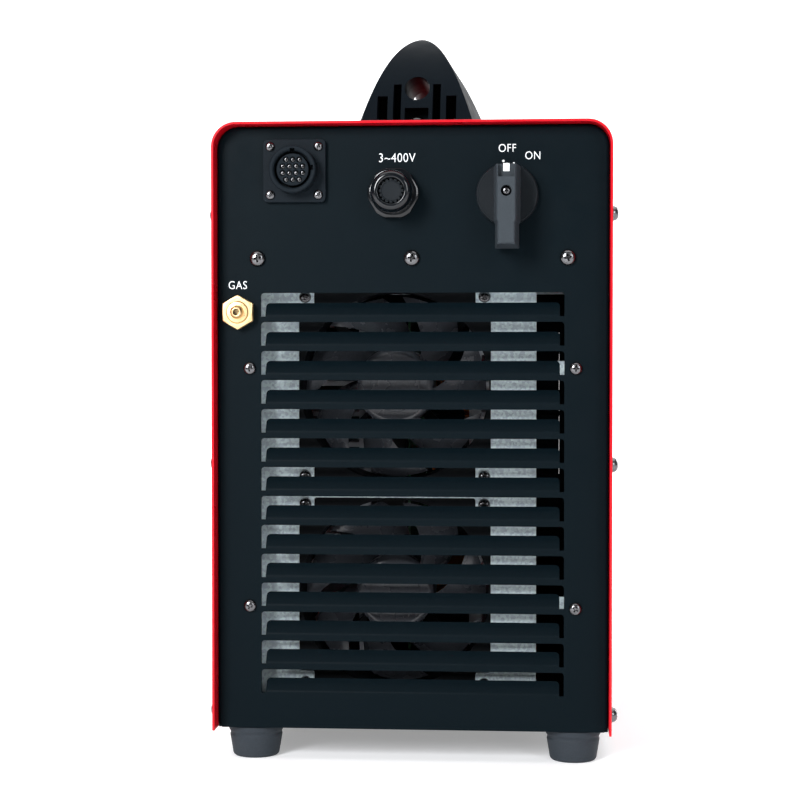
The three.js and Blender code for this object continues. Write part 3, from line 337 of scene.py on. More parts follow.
class Finish:
    """A Principled material with a few ways to vary it over the surface."""

    def __init__(self, name, base, roughness, metallic=0.0, **more):
        self.material = bpy.data.materials.new(name)
        self.material.use_nodes = True
        self.tree = self.material.node_tree
        self.shader = self.tree.nodes["Principled BSDF"]
        self.base = base
        self.set("Base Color", base)
        self.set("Roughness", roughness)
        self.set("Metallic", metallic)
        for socket, value in more.items():
            self.set(socket.replace("_", " "), value)
        self.place = self.add("ShaderNodeTexCoord").outputs["Object"]
        self.bumped = None

    def set(self, socket, value):
        self.shader.inputs[socket].default_value = value

    def add(self, kind, settings=(), inputs=()):
        node = self.tree.nodes.new(kind)
        for key, value in dict(settings).items():
            setattr(node, key, value)
        for key, value in dict(inputs).items():
            if isinstance(value, bpy.types.NodeSocket):
                self.tree.links.new(value, node.inputs[key])
            else:
                node.inputs[key].default_value = value
        return node

    def stretched(self, x, y, z):
        """Coordinates scaled by different amounts along the three axes."""
        return self.add("ShaderNodeMapping", (), {"Vector": self.place, "Scale": (x, y, z)}).outputs[0]

    def noise(self, size, detail=3.0, vector=None):
        """Clouds whose features are about size millimetres across."""
        inputs = {"Vector": vector or self.place, "Scale": 1 / (size * MM), "Detail": detail}
        return self.add("ShaderNodeTexNoise", (), inputs).outputs["Fac"]

    def cells(self, size, output="Color", feature="F1"):
        inputs = {"Vector": self.place, "Scale": 1 / (size * MM)}
        return self.add("ShaderNodeTexVoronoi", {"feature": feature}, inputs).outputs[output]

    def ramp(self, value, low, high):
        """Spreads a value over a range of results."""
        inputs = {"Value": value, "From Min": 0.3, "From Max": 0.7, "To Min": low, "To Max": high}
        return self.add("ShaderNodeMapRange", (), inputs).outputs[0]

    def tint(self, value, dark, light):
        """Varies the base colour between a darker and a lighter share of it."""
        stops = self.add("ShaderNodeValToRGB", (), {"Fac": value})
        stops.color_ramp.elements[0].position = 0.3
        stops.color_ramp.elements[1].position = 0.7
        stops.color_ramp.elements[0].color = (*[c * dark for c in self.base[:3]], 1)
        stops.color_ramp.elements[1].color = (*[min(1, c * light) for c in self.base[:3]], 1)
        self.tree.links.new(stops.outputs[0], self.shader.inputs["Base Color"])
        return stops.outputs[0]

    def overlay(self, under, factor, over):
        """Lays a second colour over the first where factor is high."""
        mix = self.add("ShaderNodeMix", {"data_type": "RGBA"}, {0: factor})
        self.tree.links.new(under, mix.inputs[6])
        mix.inputs[7].default_value = over
        self.tree.links.new(mix.outputs[2], self.shader.inputs["Base Color"])
        return mix.outputs[2]

    def rough(self, value, low, high):
        self.tree.links.new(self.ramp(value, low, high), self.shader.inputs["Roughness"])

    def bump(self, value, depth, strength=1.0):
        """Raises the surface by depth millimetres where value is high; bumps stack."""
        node = self.add("ShaderNodeBump", (), {"Strength": strength, "Distance": depth * MM, "Height": value})
        if self.bumped:
            self.tree.links.new(self.bumped, node.inputs["Normal"])
        self.bumped = node.outputs[0]
        self.tree.links.new(self.bumped, self.shader.inputs["Normal"])

    def edges(self, radius):
        """1 close to a convex edge, 0 on open surface: where handling thins the finish, and where the coats
        paint a lighter edge as a highlight.
        """
        rounded = self.add("ShaderNodeBevel", {"samples": 4}, {"Radius": radius * MM}).outputs[0]
        flat = self.add("ShaderNodeNewGeometry").outputs["Normal"]
        turn = self.add("ShaderNodeVectorMath", {"operation": "DOT_PRODUCT"}, {0: rounded, 1: flat})
        inputs = {"Value": turn.outputs["Value"], "From Min": 0.99, "From Max": 0.8, "To Min": 0, "To Max": 1}
        return self.add("ShaderNodeMapRange", (), inputs).outputs[0]

    def faded(self, first, second):
        return self.add("ShaderNodeMath", {"operation": "MULTIPLY"}, {0: first, 1: second}).outputs[0]


print("node helpers ready")

# %% [markdown]
# ### Powder coats
# The cover has a gloss red powder coat. Powder melts into a skin that is never quite flat, so
# it has a faint orange peel, and it is thinnest on the folded edges. Both coats are painted
# lighter along convex edges: partly that thin, worn coat, partly a painted edge highlight.
# The panels and the tray have a black coat with a blue-green cast and a fine texture that
# breaks up reflections.

# %% Powder coats
def red_coat():
    coat = Finish("red gloss powder coat", colour(196, 8, 26), 0.34, Specular_IOR_Level=0.2,
                  Coat_Weight=0.12, Coat_Roughness=0.12)
    under = coat.tint(coat.noise(90, 2), 0.9, 1.08)
    # Convex edges are painted a lighter, pinker red: partly thin worn coat, partly a painted edge highlight.
    worn_and_lit_edge = coat.faded(coat.edges(0.5), coat.ramp(coat.noise(6), 0.0, 0.5))
    coat.overlay(under, worn_and_lit_edge, colour(214, 60, 66))
    coat.rough(coat.noise(25, 4), 0.25, 0.36)
    coat.bump(coat.noise(2.2, 1), 0.012, 0.2)
    coat.bump(coat.noise(0.35, 2), 0.01, 0.25)
    return coat.material


def black_coat():
    coat = Finish("black textured powder coat", colour(5, 15, 20), 0.5, Specular_IOR_Level=0.05)
    under = coat.tint(coat.noise(0.5, 4), 0.75, 1.3)
    # Convex edges are painted a lighter blue-grey: partly thin worn coat, partly a painted edge highlight.
    worn_and_lit_edge = coat.faded(coat.edges(0.4), coat.ramp(coat.noise(4), 0.1, 0.5))
    coat.overlay(under, worn_and_lit_edge, colour(17, 29, 35))
    coat.rough(coat.noise(14, 5), 0.4, 0.52)
    coat.bump(coat.noise(0.45, 3), 0.06, 0.4)
    coat.bump(coat.noise(3.0, 2), 0.04, 0.25)
    return coat.material


RED = red_coat()
BLACK = black_coat()
print("coats:", RED.name, "and", BLACK.name)

# %% [markdown]
# ### Metals
# The fan plate is galvanised: zinc crystals a few millimetres across, each with its own
# brightness, make the spangle. Turned brass and nickel have fine rings left by the tool,
# which run round the axis, so their noise is squeezed along Y. The sinks are extruded, with
# long die lines.

# %% Metals
def galvanised():
    zinc = Finish("galvanised steel", colour(226, 243, 252), 0.5, 0.05)
    under = zinc.tint(zinc.cells(1.6), 0.8, 1.1)
    dull = zinc.faded(zinc.noise(0.6, 3), zinc.ramp(zinc.noise(20), 0.1, 0.4))
    zinc.overlay(under, dull, colour(188, 203, 211))
    zinc.rough(zinc.cells(2.6), 0.34, 0.56)
    zinc.bump(zinc.cells(3.4, "Distance"), 0.02, 0.2)
    zinc.bump(zinc.noise(0.5, 3), 0.015, 0.3)
    return zinc.material


def turned_metal(name, base, roughness, ring=0.15):
    metal = Finish(name, base, roughness, 1.0)
    rings = metal.noise(ring, 2, metal.stretched(0.02, 1, 0.02))
    metal.tint(metal.noise(2.5, 4), 0.88, 1.06)
    metal.rough(metal.noise(1.2, 5), roughness * 0.75, roughness * 1.35)
    metal.bump(rings, 0.002, 0.15)
    metal.bump(metal.noise(0.3), 0.001, 0.1)
    return metal.material


def brushed(name, base, roughness, lines=(1, 0.03, 1), metallic=0.9):
    metal = Finish(name, base, roughness, metallic)
    streaks = metal.noise(0.5, 3, metal.stretched(*lines))
    metal.tint(streaks, 0.85, 1.1)
    metal.rough(metal.noise(5, 4), roughness * 0.8, roughness * 1.25)
    metal.bump(streaks, 0.012, 0.3)
    return metal.material


GALVANISED = galvanised()
BRASS = turned_metal("turned brass", colour(238, 204, 150), 0.36)
NICKEL = turned_metal("nickel plate", colour(112, 112, 114), 0.22)
SINK = brushed("extruded aluminium", colour(176, 180, 186), 0.4)
print("metals:", [m.name for m in (GALVANISED, BRASS, NICKEL, SINK)])

# %% [markdown]
# ### Mouldings, rubber and castings
# Moulded parts copy the texture of their tool. A handle has a visible leather-like grain, a
# switch or a socket a finer one, and a nylon gland almost none, so it shines. The fan rotors
# are satin black. One function makes them all from a base colour, a grain size and a roughness.

# %% Mouldings
def moulding(name, base, roughness, grain, depth, spread=0.12, **more):
    skin_finish = Finish(name, base, roughness, **more)
    skin_finish.tint(skin_finish.noise(grain * 1.5, 4), 1 - spread, 1 + spread)
    skin_finish.rough(skin_finish.noise(18, 4), roughness * 0.86, min(1, roughness * 1.14))
    skin_finish.bump(skin_finish.noise(grain, 3), depth, 0.5)
    skin_finish.bump(skin_finish.noise(35, 1), depth * 4, 0.15)
    return skin_finish.material


HANDLE = moulding("grained handle plastic", colour(12, 18, 23), 0.5, 0.55, 0.04, Specular_IOR_Level=0.03)
RUBBER = moulding("foot rubber", colour(43, 49, 55), 0.72, 0.4, 0.05, 0.16, Specular_IOR_Level=0.25)
SOCKET = moulding("socket moulding", colour(20, 26, 31), 0.5, 0.35, 0.03, Specular_IOR_Level=0.05)
GLAND = moulding("gloss nylon", colour(10, 14, 18), 0.14, 1.6, 0.01, 0.1)
GREY = moulding("grey switch moulding", colour(50, 56, 61), 0.46, 0.4, 0.03, Specular_IOR_Level=0.15)
# A darker copy of the grey: the gland plug's own colour, and painted shade on the isolator knob's disc.
DARK_GREY_AND_DISC_SHADE = moulding("dark moulding and painted disc shade", colour(20, 25, 29), 0.46, 0.4, 0.03, Specular_IOR_Level=0.12)
# Black moulding; the same finish is also painted into the gas inlet's bore as shade.
BLACK_MOULDING_AND_BORE_SHADE = moulding("black moulding and painted bore shade", colour(24, 26, 29), 0.42, 0.3, 0.02)
CASTING = moulding("black stoved casting", colour(9, 13, 17), 0.5, 1.1, 0.05, 0.2, Specular_IOR_Level=0.12)
ROTOR = moulding("satin black rotor plastic", colour(64, 67, 73), 0.27, 0.8, 0.008, 0.1,
                 Specular_IOR_Level=0.9)
HOSE = moulding("hose rubber", colour(28, 31, 36), 0.6, 0.5, 0.03)
PRINT = moulding("white print", colour(236, 240, 242), 0.5, 0.3, 0.01, 0.05)
print("mouldings:", [m.name for m in (HANDLE, RUBBER, SOCKET, GLAND, GREY, CASTING)])

# %% [markdown]
# ### Works and lamps
# Inside there are circuit boards, capacitors, a ferrite transformer and copper windings. The
# boards show copper tracks under green varnish, and the windings show their turns. The
# display has a smoked window that lets the lit figures through.

# %% Works and lamps
def board_finish():
    board = Finish("green circuit board", colour(30, 92, 52), 0.35, Coat_Weight=0.4)
    under = board.tint(board.noise(8, 3), 0.8, 1.15)
    inputs = {"Value": board.cells(5, "Distance", "DISTANCE_TO_EDGE"), "From Min": 0.06, "From Max": 0.03,
              "To Min": 0, "To Max": 0.8}
    tracks = board.add("ShaderNodeMapRange", (), inputs).outputs[0]
    board.overlay(under, tracks, colour(62, 132, 78))
    board.bump(tracks, 0.04, 0.6)
    return board.material


def winding(name, base, wire, metallic, axis_scale):
    copper = Finish(name, base, 0.32, metallic)
    inputs = {"Vector": copper.stretched(*axis_scale), "Scale": 0.5 / (wire * MM), "Distortion": 0.3}
    turns = copper.add("ShaderNodeTexWave", {"bands_direction": "Z"}, inputs).outputs["Fac"]
    copper.tint(turns, 0.55, 1.1)
    copper.bump(turns, 0.5, 0.8)
    return copper.material


def glow(name, base, strength):
    lamp = Finish(name, base, 0.3, Emission_Color=base, Emission_Strength=strength)
    lamp.tint(lamp.noise(1.2), 0.8, 1.1)
    return lamp.material


def smoked():
    window = Finish("smoked acrylic", colour(34, 38, 42), 0.06, Alpha=0.45, Coat_Weight=0.5)
    window.rough(window.noise(12, 4), 0.04, 0.1)
    window.bump(window.noise(25, 1), 0.02, 0.2)
    return window.material


BOARD = board_finish()
COPPER = winding("enamelled copper", colour(186, 104, 48), 1.2, 0.8, (0, 0, 1))
FERRITE = moulding("ground ferrite", colour(62, 62, 65), 0.6, 0.8, 0.03, 0.2)
SLEEVE = moulding("capacitor sleeve", colour(34, 52, 104), 0.3, 4.0, 0.05, 0.1, Coat_Weight=0.4)
WINDOW = smoked()
RED_GLOW = glow("lit red figure", colour(255, 60, 40), 2.5)
GREEN_GLOW = glow("lit green lamp", colour(60, 230, 90), 2.0)
AMBER_GLOW = glow("lit amber lamp", colour(255, 170, 30), 2.0)
print("materials in all:", len(bpy.data.materials))

# %% [markdown]
# ## The cover
# One sheet of 1.5 mm steel, folded down both sides, with two banks of outlet slots in each.
# A press makes each slot and pushes the metal above it outward into a small hood, which keeps
# drips and sparks out. The sheet is modelled as a single skin and a Solidify modifier gives
# it thickness, so flat, fold and hood stay one piece, as they are in the metal.

# %% Cover
cover_low, cover_high = span("cover")
COVER_FOLD = 15.0
VENT_BANKS = (70, 145)
VENT_ROWS = 8
VENT_FIRST = 110
VENT_PITCH = 14
VENT_HALF = 30
VENT_DROP = 2
HOOD_RISE = 8.5
HOOD_DEPTH = 2.3
COVER_SCREW_Y = 219
COVER_SCREW_Z = (336.6, 183, 29.4)
SCREW_HOLE = 2.9


def hood_depth(along, up):
    """How far a hood stands out: most at its lower middle, nothing at its sides and top."""
    across = math.sin(math.pi * min(1, max(0, along)))
    return HOOD_DEPTH * min(1, 2.6 * across) * math.cos(math.pi / 2 * up) ** 1.3


def hood(bm, centre, foot, columns=22, rows=5):
    """The patch of sheet above a slot, from its lower free edge up to the flat."""
    grid = []
    for level in range(rows + 1):
        up = level / rows
        line = []
        for column in range(columns + 1):
            along = column / columns
            x = centre - VENT_HALF + 2 * VENT_HALF * along
            line.append(bm.verts.new((x, -hood_depth(along, up), foot + HOOD_RISE * up)))
        grid.append(line)
    skin(bm, grid, around=False)
    left = [(line[0].co.x, line[0].co.z) for line in grid]
    top = [(vertex.co.x, vertex.co.z) for vertex in grid[-1]]
    right = [(line[-1].co.x, line[-1].co.z) for line in grid]
    return left[:-1] + top + right[::-1][1:]


def cover_side(bm):
    """One side, drawn in the plane Y = 0 with its length along X, looking out along -Y."""
    start = len(bm.verts)
    half_length = cover_high.y
    fold = cover_high.z - COVER_FOLD
    foot = cover_low.z
    outline = [(-half_length, foot), (half_length, foot), (half_length, fold), (-half_length, fold)]
    holes = [circle(end * COVER_SCREW_Y, z, SCREW_HOLE, 24) for end in SIDES for z in COVER_SCREW_Z]
    for bank in VENT_BANKS:
        for level in range(VENT_ROWS):
            slot_z = VENT_FIRST + level * VENT_PITCH
            rim = hood(bm, bank, slot_z + VENT_DROP)
            low = slot_z - VENT_DROP
            holes.append([*rim, (bank + VENT_HALF, low), (bank - VENT_HALF, low)])
    sheet_face(bm, [outline, *holes])
    return start


def cover_mesh():
    bm = bmesh.new()
    turn_right = Matrix.Translation((cover_high.x, 0, 0)) @ Matrix.Rotation(math.pi / 2, 4, "Z")
    start = cover_side(bm)
    moved(bm, turn_right, start)
    start = cover_side(bm)
    mirror = Matrix.Diagonal((-1, 1, 1, 1))
    moved(bm, mirror @ turn_right, start)
    fold_x = cover_high.x - COVER_FOLD
    fold_z = cover_high.z - COVER_FOLD
    for side in SIDES:
        bend = arc(fold_x, fold_z, COVER_FOLD, 0, 90, 12)
        ends = [[bm.verts.new((side * x, end * cover_high.y, z)) for x, z in bend] for end in SIDES]
        skin(bm, ends, around=False)
    start = len(bm.verts)
    top = [(-fold_x, -cover_high.y), (fold_x, -cover_high.y), (fold_x, cover_high.y), (-fold_x, cover_high.y)]
    screw_holes = [circle(0, end * 180, SCREW_HOLE, 24) for end in SIDES]
    sheet_face(bm, [top, *screw_holes])
    lay_flat = Matrix(((1, 0, 0, 0), (0, 0, 1, 0), (0, 1, 0, cover_high.z), (0, 0, 0, 1)))
    moved(bm, lay_flat, start)
    return bm


cover = piece("cover_shell", cover_mesh(), RED, "case", ["cover"],
              bevel=0.3, sharp=40, solidify=SHEET)
print("cover faces before thickness:", len(cover.data.polygons))

# %% [markdown]
# ## The louvred end panels
# Each panel is a shallow tray with a column of louvres. A louvre's tab is cut on three sides
# and leans inward from the lower edge of its opening, so the light shows a bright line at
# each bend and darkness above it. The skin follows the flat, then a small bend radius, then
# the tab, and the tab's free corners are rounded by shortening its last rows.

# %% Panel outline and louvres
panel_high = span("rear_panel")[1]
REAR_FACE = -228.0
FRONT_FACE = 228.0
PANEL_CORNER = 13.2
PANEL_BEND = 2.2
FLANGE = 15.0
FLANGE_FOOT = cover_low.z + 2.1
LOUVRE_HALF = 93.0
LOUVRE_HEIGHT = 14.45
LOUVRE_PITCH = 17.85
LOUVRE_FIRST_TOP = 288.3
TAB_BEND = 3.0
TAB_CORNER = 2.6
REAR_TAB = {"height": 8.5, "lean": 36, "slit": 2.75}
FRONT_TAB = {"height": 15.2, "lean": 16, "slit": 0.12}


def panel_line(inset):
    """The folded edge, from the lower left over the top to the lower right."""
    half = panel_high.x - inset
    top = panel_high.z - inset
    radius = PANEL_CORNER - inset
    points = [(-half, FLANGE_FOOT)]
    points += arc(-half + radius, top - radius, radius, 180, 90, 10)
    points += arc(half - radius, top - radius, radius, 90, 0, 10)
    points.append((half, FLANGE_FOOT))
    return points


def tab_rows(top, tab):
    """Rows of (half width, y, z) from the lower edge of an opening to the tip of its tab."""
    foot = top - LOUVRE_HEIGHT
    half = LOUVRE_HALF - tab["slit"]
    rows = []
    for step in range(7):
        lean = math.radians(tab["lean"] * step / 6)
        rows.append((half, TAB_BEND * (1 - math.cos(lean)), foot + TAB_BEND * math.sin(lean)))
    length = (tab["height"] - TAB_BEND * math.sin(lean)) / math.cos(lean)
    for share in (1.0, 0.6, 0.35, 0.15, 0.04, 0.0):
        from_tip = TAB_CORNER * share
        narrowing = TAB_CORNER - math.sqrt(TAB_CORNER ** 2 - (TAB_CORNER - from_tip) ** 2)
        reach = length - from_tip
        last = rows[6]
        rows.append((half - narrowing, last[1] + reach * math.sin(lean), last[2] + reach * math.cos(lean)))
    return rows


def louvre(bm, top, tab):
    """Adds a tab and gives back the outline of its opening."""
    rows = tab_rows(top, tab)
    skin(bm, [row(bm, [(-half, y, z), (half, y, z)]) for half, y, z in rows], around=False)
    foot = top - LOUVRE_HEIGHT
    half = LOUVRE_HALF - tab["slit"]
    outline = [(-LOUVRE_HALF, foot), (-half, foot), (half, foot), (LOUVRE_HALF, foot)]
    outline += arc(LOUVRE_HALF - 2, top - 2, 2, 0, 90, 5)
    outline += arc(2 - LOUVRE_HALF, top - 2, 2, 90, 180, 5)
    return outline


def end_panel(holes, first, count, tab):
    """A panel whose face is the plane Y = 0, looking out along -Y."""
    bm = bmesh.new()
    lines = []
    for step in range(6):
        turn = math.radians(90 * step / 5)
        inset = PANEL_BEND * (1 - math.sin(turn))
        depth = PANEL_BEND * (1 - math.cos(turn))
        lines.append(row(bm, [(x, depth, z) for x, z in panel_line(inset)]))
    lines.append(row(bm, [(x, FLANGE, z) for x, z in panel_line(0)]))
    skin(bm, lines, around=False)
    flat = panel_line(PANEL_BEND)
    outline = [*flat, (flat[-1][0], cover_low.z), (flat[0][0], cover_low.z)]
    tops = [LOUVRE_FIRST_TOP - LOUVRE_PITCH * (first + i) for i in range(count)]
    openings = [louvre(bm, top, tab) for top in tops]
    sheet_face(bm, [outline, *openings, *holes])
    return bm


print("tab rows:", len(tab_rows(0, REAR_TAB)), "and panel width:", round(2 * panel_high.x, 1))

# %% Rear panel
socket_at = middle("remote_socket_insert")
gland_at = middle("gland_dome_nut")
switch_at = middle("switch_shaft")
gas_at = middle("gas_inlet_fitting")
PANEL_SCREW_X = (-95, 0, 95)
PANEL_SCREW_Z = 309.4
SMALL_SCREWS = [(side * 100, z) for z in (242, 95.5) for side in SIDES]
SOCKET_SCREW = 29.5 / 2
socket_screws = [(socket_at.x + i * SOCKET_SCREW, socket_at.z + j * SOCKET_SCREW) for i, j in CORNERS]

rear_holes = [circle(x, PANEL_SCREW_Z, SCREW_HOLE, 24) for x in PANEL_SCREW_X]
rear_holes += [circle(x, z, 2.4, 20) for x, z in SMALL_SCREWS]
rear_holes += [circle(x, z, 1.7, 16) for x, z in socket_screws]
rear_holes.append(circle(socket_at.x, socket_at.z, 13.6, 40))
rear_holes.append(circle(gland_at.x, gland_at.z, 13.1, 40))
rear_holes.append(circle(switch_at.x, switch_at.z, 6, 32))
rear_holes.append(circle(gas_at.x, gas_at.z, 6.8, 32))
rear_mesh = end_panel(rear_holes, 0, 14, REAR_TAB)
moved(rear_mesh, Matrix.Translation((0, REAR_FACE, 0)))
rear_panel = piece("rear_panel_sheet", rear_mesh, BLACK, "case", ["rear_panel"],
                   bevel=0.25, sharp=40, solidify=SHEET)
print("rear panel faces before thickness:", len(rear_panel.data.polygons))

# %% Front panel
torch_at = middle("torch_socket_pin")
earth_at = middle("earth_socket_insert")
knob_at = middle("current_knob")
display_at = middle("display_window")
rockers = {"gas_test": middle("gas_test_switch_body"), "mode": middle("mode_switch_body")}

front_holes = [circle(x, PANEL_SCREW_Z, SCREW_HOLE, 24) for x in PANEL_SCREW_X]
front_holes += [circle(-place.x, place.z, 15.6, 48) for place in (torch_at, earth_at)]
front_holes.append(circle(-knob_at.x, knob_at.z, 5, 24))
front_holes.append(rectangle(-display_at.x, display_at.z, 36, 15, 1))
front_holes += [rectangle(-place.x, place.z, 7.7, 11.7, 1) for place in rockers.values()]
front_mesh = end_panel(front_holes, 1, 7, FRONT_TAB)
moved(front_mesh, Matrix.Rotation(math.pi, 4, "Z") @ Matrix.Translation((0, REAR_FACE, 0)))
front_panel = piece("front_panel_sheet", front_mesh, BLACK, "case", ["front_panel"],
                    bevel=0.25, sharp=40, solidify=SHEET)
print("front panel faces before thickness:", len(front_panel.data.polygons))

# %% [markdown]
# ## The fan plate
# A flat plate of galvanised steel behind the louvres carries both fans. It has a square
# window with rounded corners for each, and a small ear in each corner of the window takes a
# fan screw. Four arms reach sideways and step out to the rear panel.

# %% Fan plate
FAN_X = -12.3
FAN_Z = {"upper": 230.4, "lower": 101.1}
FAN_HOLE = 56.0
WINDOW_HALF = 60.0
EAR_WIDTH = 9.5
EAR_HEIGHT = 11.0
PLATE_FACE = -206.5
PLATE_SIDES = (-100.5, 75.9)
ARM_HALF = 4.5
ARM_REACH = 108


def window_outline(z):
    """A square window whose corners are filled by ears."""
    points = []
    for side, level in ((1, -1), (1, 1), (-1, 1), (-1, -1)):
        wide = WINDOW_HALF * side
        high = WINDOW_HALF * level
        ear_x = side * (WINDOW_HALF - EAR_WIDTH)
        ear_z = level * (WINDOW_HALF - EAR_HEIGHT)
        ear = [(ear_x, high), (ear_x, ear_z), (wide, ear_z)]
        points += ear if side != level else ear[::-1]
    turned_points = [(FAN_X + x, z + dz) for x, dz in points]
    return softened(turned_points, 1.6, 3, closed=True)


def fan_plate_mesh():
    bm = bmesh.new()
    left, right = PLATE_SIDES
    middle_x = (left + right) / 2
    outline = rectangle(middle_x, 164.5, (right - left) / 2, 134.5, 2)
    holes = [window_outline(z) for z in FAN_Z.values()]
    for z in FAN_Z.values():
        holes += [circle(FAN_X + i * FAN_HOLE, z + j * FAN_HOLE, 2.4, 20) for i, j in CORNERS]
    plate(bm, [outline, *holes], PLATE_FACE, PLATE_FACE + SHEET, 0.2)
    sole = REAR_FACE + SHEET + GAP
    for side, z in SMALL_SCREWS:
        direction = math.copysign(1, side)
        inner = left + 3 if direction < 0 else right - 3
        outer = direction * ARM_REACH
        line = [(inner, PLATE_FACE), (outer, PLATE_FACE), (outer, sole), (outer - 14 * direction, sole)]
        soft_line = softened(line, 2.0, 4)
        back_line = offset_line(soft_line, SHEET * direction)
        rings = [row(bm, [(x, y, z - ARM_HALF), (x, y, z + ARM_HALF)]) for x, y in soft_line]
        back = [row(bm, [(x, y, z - ARM_HALF), (x, y, z + ARM_HALF)]) for x, y in back_line]
        skin(bm, [[*near, *reversed(far)] for near, far in zip(rings, back)])
        for near, far in ((rings[0], back[0]), (rings[-1], back[-1])):
            bm.faces.new([near[0], near[1], far[1], far[0]])
    return bm


def offset_line(line, distance):
    """A polyline moved sideways by distance, for the other face of a folded strip."""
    moved_line = []
    for i, point in enumerate(line):
        before = Vector(line[max(0, i - 1)])
        after = Vector(line[min(len(line) - 1, i + 1)])
        along = (after - before).normalized()
        moved_line.append((point[0] - along.y * distance, point[1] + along.x * distance))
    return moved_line


fan_plate = piece("fan_plate_sheet", fan_plate_mesh(), GALVANISED, "case", ["fan_plate"])
print("fan plate faces:", len(fan_plate.data.polygons))

# %% [markdown]
# ## The fans
# Each fan is a cast square frame with a round throat, a flange at both ends and four struts
# that hold the motor. The rotor is a moulded cup with seven curved blades. A blade is a
# cambered sheet that twists as it goes out, so its mesh is a grid whose chord turns with the
# radius, thickened afterwards.

# %% Fan frames and motors
FAN_CENTRE_Y = -185.7
FAN_HALF_DEPTH = 19.0
FAN_HALF_SIZE = 63.5
THROAT = 59.0
MOTOR = 22.0


def fan_frame_mesh(z):
    bm = bmesh.new()
    front = FAN_CENTRE_Y - FAN_HALF_DEPTH
    back = FAN_CENTRE_Y + FAN_HALF_DEPTH
    outline = rectangle(FAN_X, z, FAN_HALF_SIZE, FAN_HALF_SIZE, 9, 8)
    holes = [circle(FAN_X + i * FAN_HOLE, z + j * FAN_HOLE, 2.3, 20) for i, j in CORNERS]
    throat = circle(FAN_X, z, THROAT, 96)
    plate(bm, [outline, throat, *holes], front, front + 5, 0.6)
    plate(bm, [outline, throat, *holes], back - 5, back, 0.6)
    outside = THROAT + 2.4
    barrel = [(THROAT, front + 0.5), (THROAT, back - 0.5), (outside, back - 2), (outside, front + 2)]
    turned(bm, barrel, FAN_X, z, 96, closed=True)
    for degrees in (45, 135, 225, 315):
        start = len(bm.verts)
        plate(bm, [rectangle(0, 40, 3, 21, 1)], back - 4, back - 0.2, 0.5)
        moved(bm, Matrix.Translation((FAN_X, 0, z)) @ Matrix.Rotation(math.radians(degrees), 4, "Y"), start)
    disc = [(0, back - 3.6), (23, back - 3.6), (23, back), (0, back)]
    turned(bm, softened(disc, 0.8), FAN_X, z, 64)
    return bm


def motor_mesh(z):
    bm = bmesh.new()
    can = [(0, -14), (20, -14), (MOTOR, -12), (MOTOR, 15.4), (0, 15.4)]
    turned(bm, [(r, FAN_CENTRE_Y + y) for r, y in softened(can, 1.2)], FAN_X, z, 64)
    return bm


for level, z in FAN_Z.items():
    piece(f"fan_{level}_casting", fan_frame_mesh(z), CASTING, "case", [f"fan_{level}_frame"])
    piece(f"fan_{level}_stator", motor_mesh(z), CASTING, "case", [f"fan_{level}_motor"])
print("fan frames stand at", [round(z, 1) for z in FAN_Z.values()])

# %% Impellers
HUB = 24.5
BLADES = 7
BLADE_TIP = 56.5
BLADE_THICKNESS = 1.4
CAMBER = 3.2


def blade_point(radius, chord):
    """A point on the first blade: chord is 0 at the edge nearer the rear panel, 1 at the other."""
    share = (radius - HUB) / (BLADE_TIP - HUB)
    lead = 50 + 38 * share
    width = 34 + 8 * share
    reach = 12.5 - 4.5 * share
    angle = math.radians(lead - width * chord)
    bow = CAMBER * math.sin(math.pi * chord)
    axial = -3 + (2 * chord - 1) * reach - bow
    return Vector((radius * math.cos(angle), axial, radius * math.sin(angle)))


def blade(bm, turn, spans=9, chords=10):
    """A thin closed blade: an outer and an inner grid joined round the rim."""
    sides = []
    for lift in (0, BLADE_THICKNESS):
        grid = []
        for i in range(spans + 1):
            radius = HUB - 1 + (BLADE_TIP - HUB + 1) * i / spans
            rounding = 1 - 0.1 * max(0, i / spans - 0.8) / 0.2
            line = []
            for j in range(chords + 1):
                chord = 0.5 + (j / chords - 0.5) * rounding
                thinning = 0.35 + 0.65 * math.sin(math.pi * min(1, max(0, j / chords)))
                point = blade_point(radius, chord) + Vector((0, lift * thinning, 0))
                line.append(bm.verts.new(Matrix.Rotation(turn, 4, "Y") @ point))
            grid.append(line)
        skin(bm, grid, around=False)
        sides.append(grid)
    rims = []
    for grid in sides:
        leading = [line[-1] for line in grid[1:]]
        trailing = [line[0] for line in grid[-2:0:-1]]
        rims.append([*grid[0], *leading, *grid[-1][-2::-1], *trailing])
    skin(bm, rims)


def impeller_mesh(z):
    bm = bmesh.new()
    cup = [(0, -16), (HUB - 3, -16), (HUB, -13.2), (HUB, 12), (HUB - 1.3, 12), (HUB - 1.3, -13.6), (0, -14.4)]
    turned(bm, softened(cup, 1.4, 4), segments=96)
    badge = [(0, -16.35), (15.4, -16.35), (15.8, -16)]
    turned(bm, badge, segments=64)
    boss = [(0, -15.2), (2.2, -15.2), (2.6, -15.8)]
    turned(bm, boss, segments=32)
    for i in range(BLADES):
        blade(bm, -2 * math.pi * i / BLADES)
    moved(bm, Matrix.Translation((FAN_X, FAN_CENTRE_Y, z)))
    return bm


for level, z in FAN_Z.items():
    rotor = piece(f"fan_{level}_rotor_blades", impeller_mesh(z), ROTOR, f"fan_{level}_rotor",
                  [f"fan_{level}_impeller"], sharp=30)
print("rotor faces:", len(rotor.data.polygons))

# %% [markdown]
# ## Screws
# All the visible screws are pan heads with a cross recess, in four sizes. One head is carved
# once: a dome with two tapered slots cut through its middle. Every screw is then a copy of
# it, scaled, set in place and given its own turn, because no fitter lines up the crosses.

